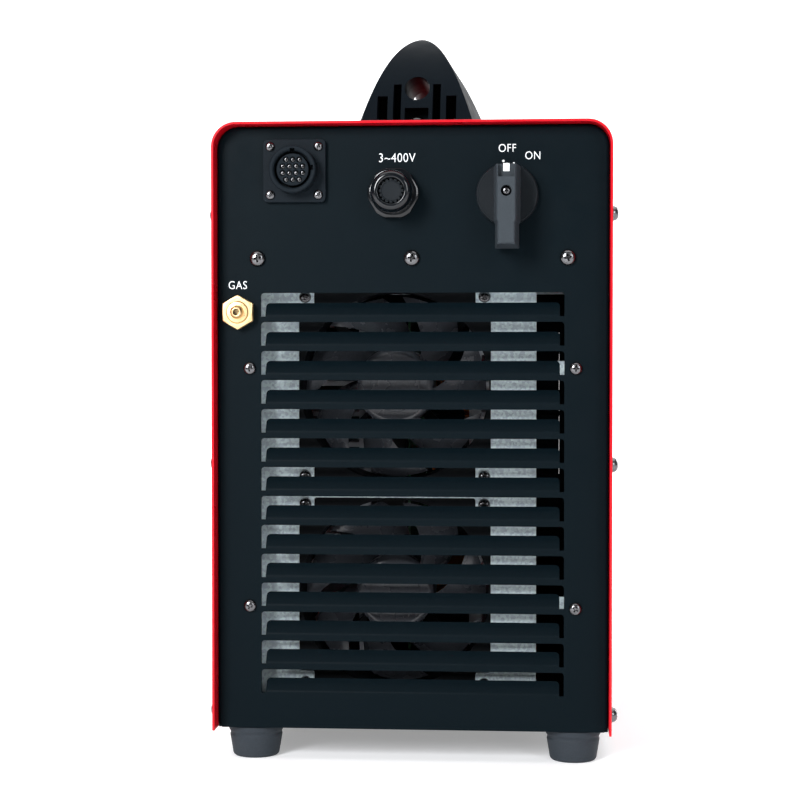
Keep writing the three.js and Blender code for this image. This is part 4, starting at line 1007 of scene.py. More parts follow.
# %% Screw head
def head_template():
    """A head of radius 1, its underside at y = 0 and its crown at y = -0.72."""
    crown = [(0, -0.72), (0.3, -0.71), (0.62, -0.64), (0.86, -0.47), (0.97, -0.22), (1, 0), (0, 0)]
    head = tool(turned, softened(crown, 0.08, 2), segments=48)
    cutters = []
    for turn in (0, math.pi / 2):
        slot = bmesh.new()
        near = row(slot, [(-0.62, -0.9, -0.13), (0.62, -0.9, -0.13), (0.62, -0.9, 0.13), (-0.62, -0.9, 0.13)])
        far = row(slot, [(-0.2, -0.2, -0.08), (0.2, -0.2, -0.08), (0.2, -0.2, 0.08), (-0.2, -0.2, 0.08)])
        skin(slot, [near, far])
        slot.faces.new(near)
        slot.faces.new(far)
        moved(slot, Matrix.Rotation(turn, 4, "Y"))
        cutters.append(slot)
    mesh = bpy.data.meshes.new("screw head")
    carved(head, cutters).to_mesh(mesh)
    return mesh


HEAD = head_template()
turns = random.Random(11)


def add_screw(bm, place, radius, facing, height=None, washer=0.0):
    """A screw head on a surface at place; facing is the angle about Z that -Y is turned by."""
    start = len(bm.verts)
    tall = radius if height is None else height / 0.72
    bm.from_mesh(HEAD)
    spin = Matrix.Rotation(turns.uniform(0, math.pi), 4, "Y")
    lift = Matrix.Translation((0, -washer, 0))
    moved(bm, lift @ Matrix.Diagonal((radius, tall, radius, 1)) @ spin, start)
    if washer:
        ring = [(radius * 0.5, 0), (radius * 1.22, 0), (radius * 1.22, -washer), (radius * 0.5, -washer)]
        turned(bm, softened(ring, 0.2, 2), segments=48)
    moved(bm, Matrix.Translation(place) @ facing, start)


REARWARD = Matrix.Identity(4)
FORWARD = Matrix.Rotation(math.pi, 4, "Z")
print("screw head faces:", len(HEAD.polygons))

# %% Screws in place
def screw_set(name, places, radius, facing=REARWARD, height=None, stands_for=(), washer=0.0, finish=NICKEL):
    bm = bmesh.new()
    for place in places:
        add_screw(bm, place, radius, facing, height, washer)
    return piece(name, bm, finish, "case", stands_for, sharp=30)


screw_set("rear_panel_screws", [(x, REAR_FACE, PANEL_SCREW_Z) for x in PANEL_SCREW_X], 5, height=3.6,
          stands_for=[f"rear_panel_screw_{i}" for i in (1, 2, 3)])
screw_set("fan_plate_screws", [(x, REAR_FACE, z) for x, z in SMALL_SCREWS], 4, height=2.8)
FLANGE_FRONT = -231.3
screw_set("socket_screws", [(x, FLANGE_FRONT, z) for x, z in socket_screws], 2.9, height=1.9)
fan_screws = []
for z in FAN_Z.values():
    fan_screws += [(FAN_X + i * FAN_HOLE, PLATE_FACE, z + j * FAN_HOLE) for i, j in CORNERS]
screw_set("fan_screws", fan_screws, 3.8, height=2.4)
screw_set("front_panel_screws", [(x, FRONT_FACE, PANEL_SCREW_Z) for x in PANEL_SCREW_X], 5, FORWARD, 3.6)
for side, name in ((-1, "left"), (1, "right")):
    face = Matrix.Rotation(side * math.pi / 2, 4, "Z")
    places = [(side * cover_high.x, end * COVER_SCREW_Y, z) for end in SIDES for z in COVER_SCREW_Z]
    screw_set(f"cover_screws_{name}", places, 4.7, face, 4.2, [f"cover_screw_{name}"])
screw_count = sum(len(o.data.polygons) // len(HEAD.polygons) for o in made if o.name.endswith("screws"))
print("screws on the panels:", screw_count)

# %% [markdown]
# ## The remote-control socket
# A square flange with four small screws carries a round shell. Inside the shell four keyways
# stop a plug from going in the wrong way round, and an insulator holds fourteen contacts in
# rows of three, four, four and three. The keyways are cut from the turned shell; the contacts
# are tiny plated sleeves sunk below the insulator's face.

# %% Remote socket
shell_low, shell_high = span("remote_socket_shell")
insert_low, insert_high = span("remote_socket_insert")
KEYWAYS = (90, 5, 215, 250)
CONTACT_ROWS = (3, 4, 4, 3)
CONTACT_PITCH = 4.05


def contact_places():
    places = []
    for level, count in enumerate(CONTACT_ROWS):
        for i in range(count):
            x = socket_at.x + (i - (count - 1) / 2) * CONTACT_PITCH
            places.append((x, socket_at.z + (1.5 - level) * CONTACT_PITCH))
    return places


def socket_shell_mesh():
    x, z = socket_at.x, socket_at.z
    front = shell_low.y
    seat = REAR_FACE - GAP
    ring = [(14.4, seat - 2.5), (14.4, front + 0.8), (13.7, front), (12.2, front), (11.3, front + 0.9),
            (11.3, front + 10), (10.1, front + 10), (10.1, shell_high.y), (13.2, shell_high.y),
            (13.2, seat - 2.5)]
    body = tool(turned, softened(ring, 0.35, 2, closed=True), x, z, 72, True)
    cutters = []
    for degrees in KEYWAYS:
        key = tool(block, (9.5, front - 1, -1.5), (12.9, front + 9, 1.5))
        moved(key, Matrix.Translation((x, 0, z)) @ Matrix.Rotation(math.radians(-degrees), 4, "Y"))
        cutters.append(key)
    bm = carved(body, cutters)
    half = (shell_high.x - shell_low.x) / 2
    holes = [circle(px, pz, 1.7, 16) for px, pz in socket_screws]
    plate(bm, [rectangle(x, z, half, half, 2.8), circle(x, z, 13.1, 72), *holes], FLANGE_FRONT, seat, 0.45, 3)
    return bm


def socket_insert_mesh():
    bm = bmesh.new()
    outline = circle(socket_at.x, socket_at.z, 9.75, 72)
    holes = [circle(x, z, 1.7, 24) for x, z in contact_places()]
    front = insert_low.y
    plate(bm, [outline, *holes], front, front + 9, 0.25, 2)
    turned(bm, [(0, front + 8.6), (9.6, front + 8.6), (9.6, insert_high.y), (0, insert_high.y)],
           socket_at.x, socket_at.z, 48)
    return bm


def contacts_mesh():
    bm = bmesh.new()
    front = insert_low.y + 1.6
    for x, z in contact_places():
        sleeve = [(0.6, front), (1.1, front), (1.1, front + 6.6), (0, front + 6.6), (0, front + 5),
                  (0.6, front + 5)]
        turned(bm, softened(sleeve, 0.15, 2), x, z, 20)
    return bm


piece("remote_socket_body", socket_shell_mesh(), SOCKET, "case",
      ["remote_socket_shell"], sharp=32)
piece("remote_socket_insulator", socket_insert_mesh(), SOCKET, "case",
      ["remote_socket_insert"])
piece("remote_socket_contacts", contacts_mesh(), NICKEL, "case")
print("contacts:", len(contact_places()))

# %% [markdown]
# ## The mains gland
# The gland is glossy nylon: a hexagon against the panel, a dome nut in front of it, and a
# ring of clamping fingers round the bore. No lead is fitted, so a grey plug fills the bore.
# The hexagon is a six-sided rod whose corners a lathe has chamfered, which is a boolean
# intersection of the two shapes.

# %% Gland
body_low, body_high = span("gland_body")
nut_low, nut_high = span("gland_dome_nut")
plug_low, plug_high = span("gland_blanking_plug")
FINGERS = 16


def hexagon_mesh(x, z, across, y0, y1, turn, chamfer, reach=None):
    """A nut's outline turned down to a reach, with the corners of its outer face taken off."""
    rod = tool(plate, [polygon(x, z, 6, across, turn)], y0, y1)
    corner = reach or across / math.sqrt(3) + 0.2
    profile = [(0, y0), (corner - 2.4 * chamfer, y0), (corner, y0 + 1.3 * chamfer), (corner, y1), (0, y1)]
    return carved(rod, [tool(turned, profile, x, z, 72)], "INTERSECT")


def gland_body_mesh():
    seat = body_low.y + 14
    x, z = gland_at.x, gland_at.z
    bm = hexagon_mesh(x, z, 29.8, seat - 7, seat, 0, 1.0, 15.7)
    thread = [(8, seat - 14), (10.4, seat - 14), (10.4, seat - 6), (8, seat - 6)]
    turned(bm, thread, x, z, 48, closed=True)
    pitch = 1.5
    ridges = []
    turns_of_thread = int((body_high.y - seat) / pitch)
    for i in range(turns_of_thread):
        ridges += [(12.4, seat + i * pitch), (11.6, seat + (i + 0.5) * pitch)]
    turned(bm, [(8, seat), *ridges, (12.4, body_high.y), (8, body_high.y)], x, z, 48)
    return bm


def dome_nut_mesh():
    front, back = nut_low.y, nut_high.y
    profile = [(10.9, back), (12.8, back), (12.8, front + 5.5), (12.3, front + 2.6), (11.2, front + 0.8),
               (9.8, front), (8.3, front), (7.75, front + 0.7), (7.75, front + 6), (10.9, front + 8.5)]
    bm = bmesh.new()
    turned(bm, softened(profile, 0.9, 4, closed=True), gland_at.x, gland_at.z, 96, closed=True)
    return bm


def plug_mesh():
    bm = bmesh.new()
    x, z = gland_at.x, gland_at.z
    front = plug_low.y
    disc = [(0, front + 0.5), (5.6, front + 0.5), (5.9, front), (6.3, front), (6.4, front + 0.6),
            (6.4, plug_high.y), (0, plug_high.y)]
    turned(bm, softened(disc, 0.2, 2), x, z, 64)
    for i in range(FINGERS):
        angle = 2 * math.pi * i / FINGERS
        start = len(bm.verts)
        plate(bm, [rectangle(6.85, 0, 0.62, 0.95, 0.4, 4)], front + 0.35, front + 7, 0.2, 2)
        moved(bm, Matrix.Translation((x, 0, z)) @ Matrix.Rotation(-angle, 4, "Y"), start)
    return bm


def locknut_mesh():
    low, high = span("gland_locknut")
    rod = hexagon_mesh(gland_at.x, gland_at.z, 31, low.y, high.y, 0, 0.8)
    bore = tool(turned, [(0, low.y - 1), (13.1, low.y - 1), (13.1, high.y + 1), (0, high.y + 1)],
                gland_at.x, gland_at.z, 48)
    return carved(rod, [bore])


piece("gland_hexagon", gland_body_mesh(), GLAND, "case", ["gland_body"],
      bevel=0.25, sharp=30)
piece("gland_nut", dome_nut_mesh(), GLAND, "case", ["gland_dome_nut"])
piece("gland_plug", plug_mesh(), DARK_GREY_AND_DISC_SHADE, "case", ["gland_blanking_plug"])
piece("gland_locking_nut", locknut_mesh(), SOCKET, "case", ["gland_locknut"], bevel=0.3)
print("gland stands out", round(REAR_FACE - nut_low.y, 1), "mm")

# %% [markdown]
# ## The gas inlet
# A brass fitting: a hexagon to hold with a spanner, a stepped nipple in front of it and a
# barb behind the panel for the inner hose. The hexagon and the nipple are turned from one bar
# on the real thing, so they share one mesh and one brass finish; the wall inside the bore is
# painted black as shade.

# %% Gas inlet
gas_low, gas_high = span("gas_inlet_fitting")
GAS_BORE = 1.75
BARB_BORE = 1.45


def gas_inlet_mesh():
    x, z = gas_at.x, gas_at.z
    seat = REAR_FACE - GAP
    bm = hexagon_mesh(x, z, 18.3, seat - 7, seat, 30, 0.9)
    nipple = [(7.0, seat - 6.6), (6.9, seat - 7.4), (6.3, seat - 8.3), (4.1, seat - 8.5), (3.7, seat - 10.8),
              (3.3, seat - 11.3), (2.7, seat - 12), (2.1, seat - 12), (GAS_BORE, seat - 11.5),
              (GAS_BORE, seat - 4), (0, seat - 4)]
    turned(bm, softened(nipple, 0.25, 3), x, z, 48)
    tail = [(0, seat - 0.5), (6.5, seat - 0.5), (6.5, -210), (3.2, -209.6), (3.2, -193), (2.6, gas_high.y),
            (BARB_BORE, gas_high.y), (BARB_BORE, gas_high.y - 6), (0, gas_high.y - 6)]
    turned(bm, softened(tail, 0.3, 3), x, z, 40)
    return bm


inlet = piece("gas_inlet_nipple", gas_inlet_mesh(), BRASS, "case", ["gas_inlet_fitting"],
              bevel=0.2, sharp=30)


# The faces inside the bore get the black finish: painted shade, so the deep hole reads dark and not as lit
# brass.
def in_bore(corner):
    off_axis = math.hypot(corner.x - gas_at.x, corner.z - gas_at.z)
    return off_axis < GAS_BORE + 0.15 and corner.y < REAR_FACE


second_finish(inlet, BLACK_MOULDING_AND_BORE_SHADE, in_bore)
print("gas inlet length:", round(gas_high.y - gas_low.y, 1), "mm")

# %% [markdown]
# ## The isolator knob
# A disc with a lever across it. The lever has sloping flanks, is stepped where it leaves the
# disc, and has a well at its upper end for the white marker that points to OFF or ON. It is
# lofted through rounded sections, then the well and the screw's hole are cut out.

# %% Isolator knob
knob_low, knob_high = span("switch_knob")
DISC = 19.0
STEP_Z = -17.0
WELL_DEPTH = 4.5
LEVER_SECTIONS = (
    (-233.2, 8.15, 7.25, 17.0, -33.0),
    (-240.0, 7.6, 6.8, 16.6, -32.6),
    (-258.2, 6.2, 5.6, 15.9, -31.9),
    (-259.4, 5.7, 5.1, 15.4, -31.4),
    (-260.0, 5.0, 4.4, 14.7, -30.7),
)


def lever_outline(wide, narrow, high, low):
    """The lever seen from behind, as (x, z) about the knob's axis."""
    right = [(wide, high), (wide, STEP_Z), (narrow, STEP_Z - 1.2), (narrow, low)]
    left = [(-x, z) for x, z in reversed(right)]
    return softened([*right, *left], 0.7, 3, closed=True)


def knob_mesh():
    face = knob_low.y
    seat = knob_high.y
    lever = bmesh.new()
    rings = []
    for y, wide, narrow, high, low in LEVER_SECTIONS:
        rings.append(row(lever, [(x, y, z) for x, z in lever_outline(wide, narrow, high, low)]))
    skin(lever, rings)
    lever.faces.new(rings[0])
    lever.faces.new(rings[-1])
    well = tool(block, (-4.9, face - 1, 8.2), (4.9, face + WELL_DEPTH, 20))
    screw_hole = tool(turned, [(0, face - 1), (3.3, face - 1), (3.3, face + 4), (0, face + 4)], segments=40)
    bm = carved(lever, [well, screw_hole])
    rim = [(0, seat - 5), (DISC - 1.5, seat - 5), (DISC - 1.0, seat - 5.15), (DISC - 0.5, seat - 4.8),
           (DISC, seat - 3.8), (DISC, seat), (0, seat)]
    turned(bm, softened(rim, 0.3, 3), segments=128)
    moved(bm, Matrix.Translation((switch_at.x, 0, switch_at.z)))
    return bm


knob = piece("isolator_knob", knob_mesh(), GREY, "switch", ["switch_knob"],
             bevel=0.22, sharp=32)
# The disc's faces get a darker copy of the lever's grey: painted shade on the disc behind the lever.
disc_front = knob_high.y - 5.3
second_finish(knob, DARK_GREY_AND_DISC_SHADE, lambda corner: corner.y > disc_front)
marker = bmesh.new()
marker_face = knob_low.y + WELL_DEPTH - 0.6
marker_outline = rectangle(switch_at.x, switch_at.z + 14.0, 1.9, 2.4, 0.2)
plate(marker, [marker_outline], marker_face, marker_face + 0.6, 0.1)
piece("isolator_marker", marker, PRINT, "switch")
centre_screw = bmesh.new()
add_screw(centre_screw, (switch_at.x, knob_low.y + 4, switch_at.z), 2.9, REARWARD, 1.9)
piece("isolator_screw", centre_screw, NICKEL, "switch", sharp=30)
print("knob lever length:", round(knob_high.z - knob_low.z, 1), "mm")

# %% [markdown]
# ## The carrying handle
# Two moulded brackets hold an oval bar. Seen from the end a bracket is a parabola, seen from
# the side it leans like a boot, so its mesh is the overlap of the two outlines. Grooves from
# the underside save material, a round channel runs through to the bar, and a pocket gives the
# screwdriver its way in.

# %% Handle
bracket_low, bracket_high = span("handle_rear_bracket")
grip_low, grip_high = span("handle_grip")
HANDLE_SPREAD = 3.02
HANDLE_POWER = 0.6
HANDLE_FLARE = 0.0026
HANDLE_BORE = 7.9
HANDLE_BORE_Z = 419.6
HANDLE_END = bracket_low.y


def side_prism(bm, outline, x0, x1):
    """An outline in (y, z), extruded along X."""
    rings = [row(bm, [(x, y, z) for y, z in outline]) for x in (x0, x1)]
    skin(bm, rings)
    bm.faces.new(rings[0])
    bm.faces.new(rings[1])


def curve_between(start, control, stop, steps=14):
    start, control, stop = Vector(start), Vector(control), Vector(stop)
    points = []
    for step in range(steps + 1):
        share = step / steps
        points.append(tuple(start.lerp(control, share).lerp(control.lerp(stop, share), share)))
    return points


def bracket_mesh():
    base, top = bracket_low.z, bracket_high.z
    depth = top - base
    steps = 36
    wide = HANDLE_SPREAD * depth ** HANDLE_POWER
    flank = [wide * math.cos(math.pi / 2 * i / steps) for i in range(steps)] + [0.0]
    right = [(x, top - (x / HANDLE_SPREAD) ** (1 / HANDLE_POWER)) for x in flank]
    outline = [*right, *[(-x, z) for x, z in reversed(right[:-1])]]
    end_y = grip_low.y - GAP
    arch = tool(plate, [outline], HANDLE_END - 2, end_y)
    boot = [(HANDLE_END, base)]
    boot += curve_between((HANDLE_END, base), (HANDLE_END + 14, top - 14), (-128, top + 1), 24)[1:]
    boot += [(end_y, top + 1)]
    boot += curve_between((end_y, top - 26), (-108, top - 30), (-110, base))
    body = carved(arch, [tool(side_prism, boot, -60, 60)], "INTERSECT")
    for vertex in body.verts:
        vertex.co.x *= 1 + HANDLE_FLARE * (vertex.co.y - HANDLE_END)

    def groove(x0, x1, height, reach):
        low = (x0, HANDLE_END - 5, base - 1)
        return tool(block, low, (x1, HANDLE_END + reach, base + height))

    channel = tool(turned, [(0, HANDLE_END - 5), (HANDLE_BORE, HANDLE_END - 5), (HANDLE_BORE, -80), (0, -80)],
                   0, HANDLE_BORE_Z, 56)
    pocket = tool(block, (-7.5, HANDLE_END - 5, base + 3), (7.5, HANDLE_END + 22, base + 14))
    grooves = [groove(10, 15, 30, 34), groove(-15, -10, 30, 34), groove(18.5, 25, 22, 30),
               groove(-25, -18.5, 22, 30)]
    return carved(body, [channel, *grooves, pocket])


def grip_mesh():
    bm = bmesh.new()
    x, z = 0, (grip_low.z + grip_high.z) / 2
    half_wide, half_high = grip_high.x, (grip_high.z - grip_low.z) / 2
    rings = []
    stations = [(grip_low.y, 0.985), (grip_low.y + 0.8, 1.0)]
    for bead in (grip_low.y + 7, grip_low.y + 11):
        stations += [(bead - 1, 1.0), (bead - 0.4, 0.975), (bead + 0.4, 0.975), (bead + 1, 1.0)]
    stations += [(-y, size) for y, size in reversed(stations)]
    for y, size in stations:
        points = []
        for px, pz in circle(0, 0, 1, 72):
            points.append((x + half_wide * size * px, y, z + half_high * size * pz))
        rings.append(row(bm, points))
    skin(bm, rings)
    bm.faces.new(rings[0])
    bm.faces.new(rings[-1])
    return bm


rear_bracket = bracket_mesh()
front_bracket = rear_bracket.copy()
moved(front_bracket, Matrix.Rotation(math.pi, 4, "Z"))
for end, bracket in (("rear", rear_bracket), ("front", front_bracket)):
    piece(f"handle_bracket_{end}", bracket, HANDLE, "case",
          [f"handle_{end}_bracket"], bevel=0.7, sharp=32)
piece("handle_bar", grip_mesh(), HANDLE, "case", ["handle_grip"])
handle_screws = bmesh.new()
upright_screw = Matrix.Rotation(-math.pi / 2, 4, "X")
for end in SIDES:
    add_screw(handle_screws, (0, end * 180, bracket_low.z + 3), 5.0, upright_screw, 5.0, 1.2)
piece("handle_screws", handle_screws, NICKEL, "case", sharp=30)
print("handle height above the cover:", round(bracket_high.z - cover_high.z, 1), "mm")

# %% [markdown]
# ## Feet
# A foot is a turned rubber cone with a rounded tread and a deep hole that hides its screw.
# A shallow groove under the top flange lets it give a little under load.

# %% Feet
def foot_mesh(x, y, low, high):
    bm = bmesh.new()
    top = high.z
    profile = [(5.5, 0.6), (6.1, 0), (13.2, 0), (14.4, 1.2), (16.4, 13.2), (15.9, 14.4), (16.3, 15.6),
               (17.0, 16.4), (17.2, top - 0.6), (16.6, top), (2.9, top), (2.9, 10), (5.5, 10)]
    turned(bm, softened(profile, 0.7, 4, closed=True), segments=96, closed=True)
    upright = Matrix(((1, 0, 0, x), (0, 0, -1, y), (0, 1, 0, 0), (0, 0, 0, 1)))
    moved(bm, upright)
    return bm


foot_screws = bmesh.new()
for number in range(1, 5):
    low, high = span(f"foot_{number}")
    x, y = (low.x + high.x) / 2, (low.y + high.y) / 2
    piece(f"rubber_foot_{number}", foot_mesh(x, y, low, high), RUBBER, "case",
          [f"foot_{number}"])
    face_down = Matrix.Rotation(math.pi / 2, 4, "X")
    add_screw(foot_screws, (x, y, 10), 4.6, face_down, 3.0)
piece("foot_screws", foot_screws, NICKEL, "case", sharp=30)
print("feet lift the case by", round(cover_low.z, 1), "mm")

# %% [markdown]
# ## The control panel
# This side has a display behind a smoked window, a knob for the cutting current with a
# printed scale, two rockers, and the two output sockets. The figures of the display are
# seven-bar shapes on a dark board just behind the window, so they look sunk in.

# %% Display
SEVEN_BARS = {"0": "abcdef", "6": "acdefg"}
BARS = {"a": (0, 8, 0), "b": (4, 4, 1), "c": (4, -4, 1), "d": (0, -8, 0),
        "e": (-4, -4, 1), "f": (-4, 4, 1), "g": (0, 0, 0)}
window_low, window_high = span("display_window")


def figure_mesh(bm, text, x, z, y):
    """Figures that read from the control side, where +X is on the left."""
    for place, figure in enumerate(text):
        for bar in SEVEN_BARS[figure]:
            bar_x, bar_z, upright = BARS[bar]
            half = (0.8, 3.1) if upright else (3.1, 0.8)
            centre_x = x + 13 - 13 * place - bar_x
            outline = rectangle(centre_x, z + bar_z, half[0], half[1], 0.7, 2)
            plate(bm, [outline], y, y + 0.4, 0.1, 1)


def flat_piece(name, outlines, y0, y1, edge, finish, body="case", stands_for=(), bevel_steps=2):
    bm = bmesh.new()
    plate(bm, outlines, y0, y1, edge, bevel_steps)
    return piece(name, bm, finish, body, stands_for)


window_half = (window_high - window_low) / 2
flat_piece("display_pane", [rectangle(display_at.x, display_at.z, window_half.x, window_half.z, 3)],
           window_low.y, window_high.y, 0.5, WINDOW, stands_for=["display_window"])
flat_piece("display_board", [rectangle(display_at.x, display_at.z, 35, 14, 1)], 222, 223.6, 0.2, BLACK_MOULDING_AND_BORE_SHADE)
figures = bmesh.new()
figure_mesh(figures, "060", display_at.x + 12, display_at.z, 225.6)
piece("display_figures", figures, RED_GLOW, "case")
digit_blocks = [rectangle(display_at.x + 12, display_at.z, 20.5, 11.5, 1)]
flat_piece("display_digit_block", digit_blocks, 223.6, 225.6, 0.3, BLACK_MOULDING_AND_BORE_SHADE)
for i, (use, finish) in enumerate((("ready", GREEN_GLOW), ("air", AMBER_GLOW), ("fault", RED_GLOW))):
    lamp = bmesh.new()
    dome = [(0, 228.0), (1.0, 227.7), (1.5, 226.8), (1.5, 223.6), (0, 223.6)]
    turned(lamp, softened(dome, 0.3), display_at.x - 24, display_at.z + 8 - 8 * i, 32)
    piece(f"lamp_{use}", lamp, finish, "case")
print("display window:", round(2 * window_half.x), "by", round(2 * window_half.z), "mm")

# %% Current knob and its scale
dial_low = span("current_knob")[0]


def current_knob_mesh():
    seat = FRONT_FACE + 0.8
    grip = [(0, seat + 16.6), (11.6, seat + 17), (13.4, seat + 16.8), (14.6, seat + 15.4), (15.1, seat + 5),
            (16.2, seat + 3.6), (18.6, seat + 2.6), (19, seat + 1.6), (19, seat), (0, seat)]
    body = tool(turned, softened(grip, 0.6, 3), segments=128)
    cutters = []
    for i in range(18):
        angle = math.radians(20 * i + 10)
        x, z = 16.0 * math.cos(angle), 16.0 * math.sin(angle)
        flute = [(0, seat + 5.5), (1.5, seat + 5.8), (1.8, seat + 7), (1.8, seat + 20), (0, seat + 20)]
        cutters.append(tool(turned, flute, x, z, 20))
    cutters.append(tool(block, (-0.7, seat + 16.1, 4), (0.7, seat + 20, 13.8)))
    bm = carved(body, cutters)
    shaft = [(0, dial_low.y), (2.7, dial_low.y), (3, dial_low.y + 0.3), (3, seat + 1), (0, seat + 1)]
    turned(bm, shaft, segments=32)
    moved(bm, Matrix.Translation((knob_at.x, 0, knob_at.z)))
    return bm


piece("current_dial_knob", current_knob_mesh(), BLACK_MOULDING_AND_BORE_SHADE, "current_dial",
      ["current_knob"], bevel=0.15, sharp=32)
flat_piece("current_dial_pointer", [rectangle(knob_at.x, knob_at.z + 8.6, 0.55, 4.2, 0.2)],
           FRONT_FACE + 16.9, FRONT_FACE + 17.3, 0.05, PRINT, body="current_dial")


def lettering(bm, text, x, z, high, facing=REARWARD, face=REAR_FACE, weight=-0.006, narrow=0.86):
    """Printed letters of a given height, their middle at (x, z), standing 0.06 mm off a face."""
    curve = bpy.data.curves.new("lettering", "FONT")
    curve.body = text
    curve.offset = weight
    curve.extrude = 0.02
    curve.space_character = 1.08
    curve.resolution_u = 4
    mesh = mesh_of(curve)
    low = Vector([min(v.co[axis] for v in mesh.vertices) for axis in range(3)])
    top = Vector([max(v.co[axis] for v in mesh.vertices) for axis in range(3)])
    size = high / (top.y - low.y)
    centre = (low + top) / 2
    stand_up = Matrix(((size * narrow, 0, 0, 0), (0, 0, -1, 0), (0, size, 0, 0), (0, 0, 0, 1)))
    start = len(bm.verts)
    mesh.transform(stand_up @ Matrix.Translation(-centre))
    bm.from_mesh(mesh)
    moved(bm, Matrix.Translation((x, face, z)) @ facing, start)
    bpy.data.meshes.remove(mesh)


scale = bmesh.new()
SCALE_STEPS = 10
for step in range(SCALE_STEPS + 1):
    angle = math.radians(225 - 270 * step / SCALE_STEPS)
    across, up = math.cos(angle), math.sin(angle)
    start = len(scale.verts)
    plate(scale, [rectangle(22.3, 0, 1.3 if step % 5 else 1.7, 0.3, 0.1, 1)], -0.06, 0, 0.0)
    turn = Matrix.Rotation(-angle, 4, "Y")
    moved(scale, Matrix.Translation((knob_at.x, FRONT_FACE, knob_at.z)) @ FORWARD @ turn, start)
    lettering(scale, str(step), knob_at.x - 26.6 * across, knob_at.z + 26.6 * up, 2.4, FORWARD, FRONT_FACE)
piece("current_scale", scale, PRINT, "case")
print("scale marks:", SCALE_STEPS + 1)

# %% [markdown]
# ### Rocker switches
# Each rocker turns about a pivot inside its body, so its underside is an arc about that pivot
# and its face is two shallow planes that meet in the middle. It is drawn from the side and
# extruded across, then tilted to the way it rests.

# %% Rockers
ROCKER_RADIUS = 9.3
ROCKER_PIVOT_Y = 226.0
ROCKER_TILT = math.radians(8)
ROCKER_WELL_HALF = 5.4


def rocker_mesh(x, z):
    bm = bmesh.new()
    reach = ROCKER_RADIUS * 0.86
    back = arc(0, 0, reach, 90, 270, 16)
    face = softened([(1.5, -8.4), (4.6, -7.8), (3.3, 0), (4.6, 7.8), (1.5, 8.4)], 0.7, 3)
    side_prism(bm, [*back, *face], -4.9, 4.9)
    moved(bm, Matrix.Translation((x, ROCKER_PIVOT_Y, z)) @ Matrix.Rotation(ROCKER_TILT, 4, "X"))
    return bm


def rocker_marks(x, z):
    """A bar for on and a ring for off, sunk flush in the rocker's face."""
    bm = bmesh.new()
    plate(bm, [rectangle(0, 4.6, 0.4, 1.7, 0.1, 2)], -4.22, -3.9, 0.02)
    plate(bm, [circle(0, -4.6, 1.6, 32), circle(0, -4.6, 1.0, 32)], -4.22, -3.9, 0.02)
    moved(bm, Matrix.Translation((x, ROCKER_PIVOT_Y, z)) @ Matrix.Rotation(ROCKER_TILT, 4, "X") @ FORWARD)
    return bm


def rocker_body_mesh(x, z):
    seat = FRONT_FACE + GAP
    body = bmesh.new()
    plate(body, [rectangle(x, z, 7.2, 11.2, 0.6, 2)], ROCKER_PIVOT_Y - 16, seat + 0.5)
    bezel = bmesh.new()
    plate(bezel, [rectangle(x, z, 8.9, 13, 1.5, 6)], seat, seat + 2, 0.5, 3)
    whole = carved(body, [bezel], "UNION")
    clear = ROCKER_RADIUS + 0.5
    left, right = x - ROCKER_WELL_HALF, x + ROCKER_WELL_HALF
    well = tool(side_prism, circle(ROCKER_PIVOT_Y, z, clear, 64), left, right)
    mouth_half = clear - 0.02
    mouth = tool(block, (left, ROCKER_PIVOT_Y, z - mouth_half), (right, ROCKER_PIVOT_Y + 20, z + mouth_half))
    return carved(whole, [well, mouth])


for use, place in rockers.items():
    body = f"{use}_button"
    piece(f"{use}_rocker_body", rocker_body_mesh(place.x, place.z), BLACK_MOULDING_AND_BORE_SHADE, "case",
          [f"{use}_switch_body"], bevel=0.15, sharp=40)
    piece(f"{use}_rocker_key", rocker_mesh(place.x, place.z), RED, body, [f"{use}_rocker"],
          bevel=0.3, sharp=40)
    piece(f"{use}_rocker_marks", rocker_marks(place.x, place.z), PRINT, body)
print("rockers:", list(rockers))

# %% [markdown]
# ### Output sockets
# The torch socket has a square flange, a tall collar and a brass pin that carries gas and
# current. The earth socket is a bayonet type: a brass insert with a keyway, in a collar with
# finger flats. Both are turned profiles, with the flats and keyways cut afterwards.

# %% Torch socket
TORCH_SCREW = 22
TORCH_FLANGE = 4


def torch_housing_mesh():
    x, z = torch_at.x, torch_at.z
    seat = FRONT_FACE + GAP
    reach = span("torch_socket_housing")[1].y
    collar = [(20, seat + 3.5), (20.6, seat + 5), (20, seat + 7), (20, reach - 5), (19.4, reach - 4),
              (19.4, reach - 1), (18.6, reach), (16, reach), (15, reach - 1), (15, 236), (5.4, 236),
              (5.4, 205), (15, 205), (15, seat + 3.5)]
    body = tool(turned, softened(collar, 0.35, 2, closed=True), x, z, 96, True)
    key = tool(block, (x - 1.6, 244, z - 17.2), (x + 1.6, reach + 1, z - 13))
    bm = carved(body, [key])
    holes = [circle(x + i * TORCH_SCREW, z + j * TORCH_SCREW, 2, 20) for i, j in CORNERS]
    outline = rectangle(x, z, 28, 28, 5, 8)
    plate(bm, [outline, circle(x, z, 15.2, 96), *holes], seat, seat + TORCH_FLANGE, 0.7, 3)
    barb = [(0, 206), (3.2, 206), (3.2, 202), (2.6, 201), (0, 201)]
    turned(bm, barb, x, z + 11, 24)
    return bm


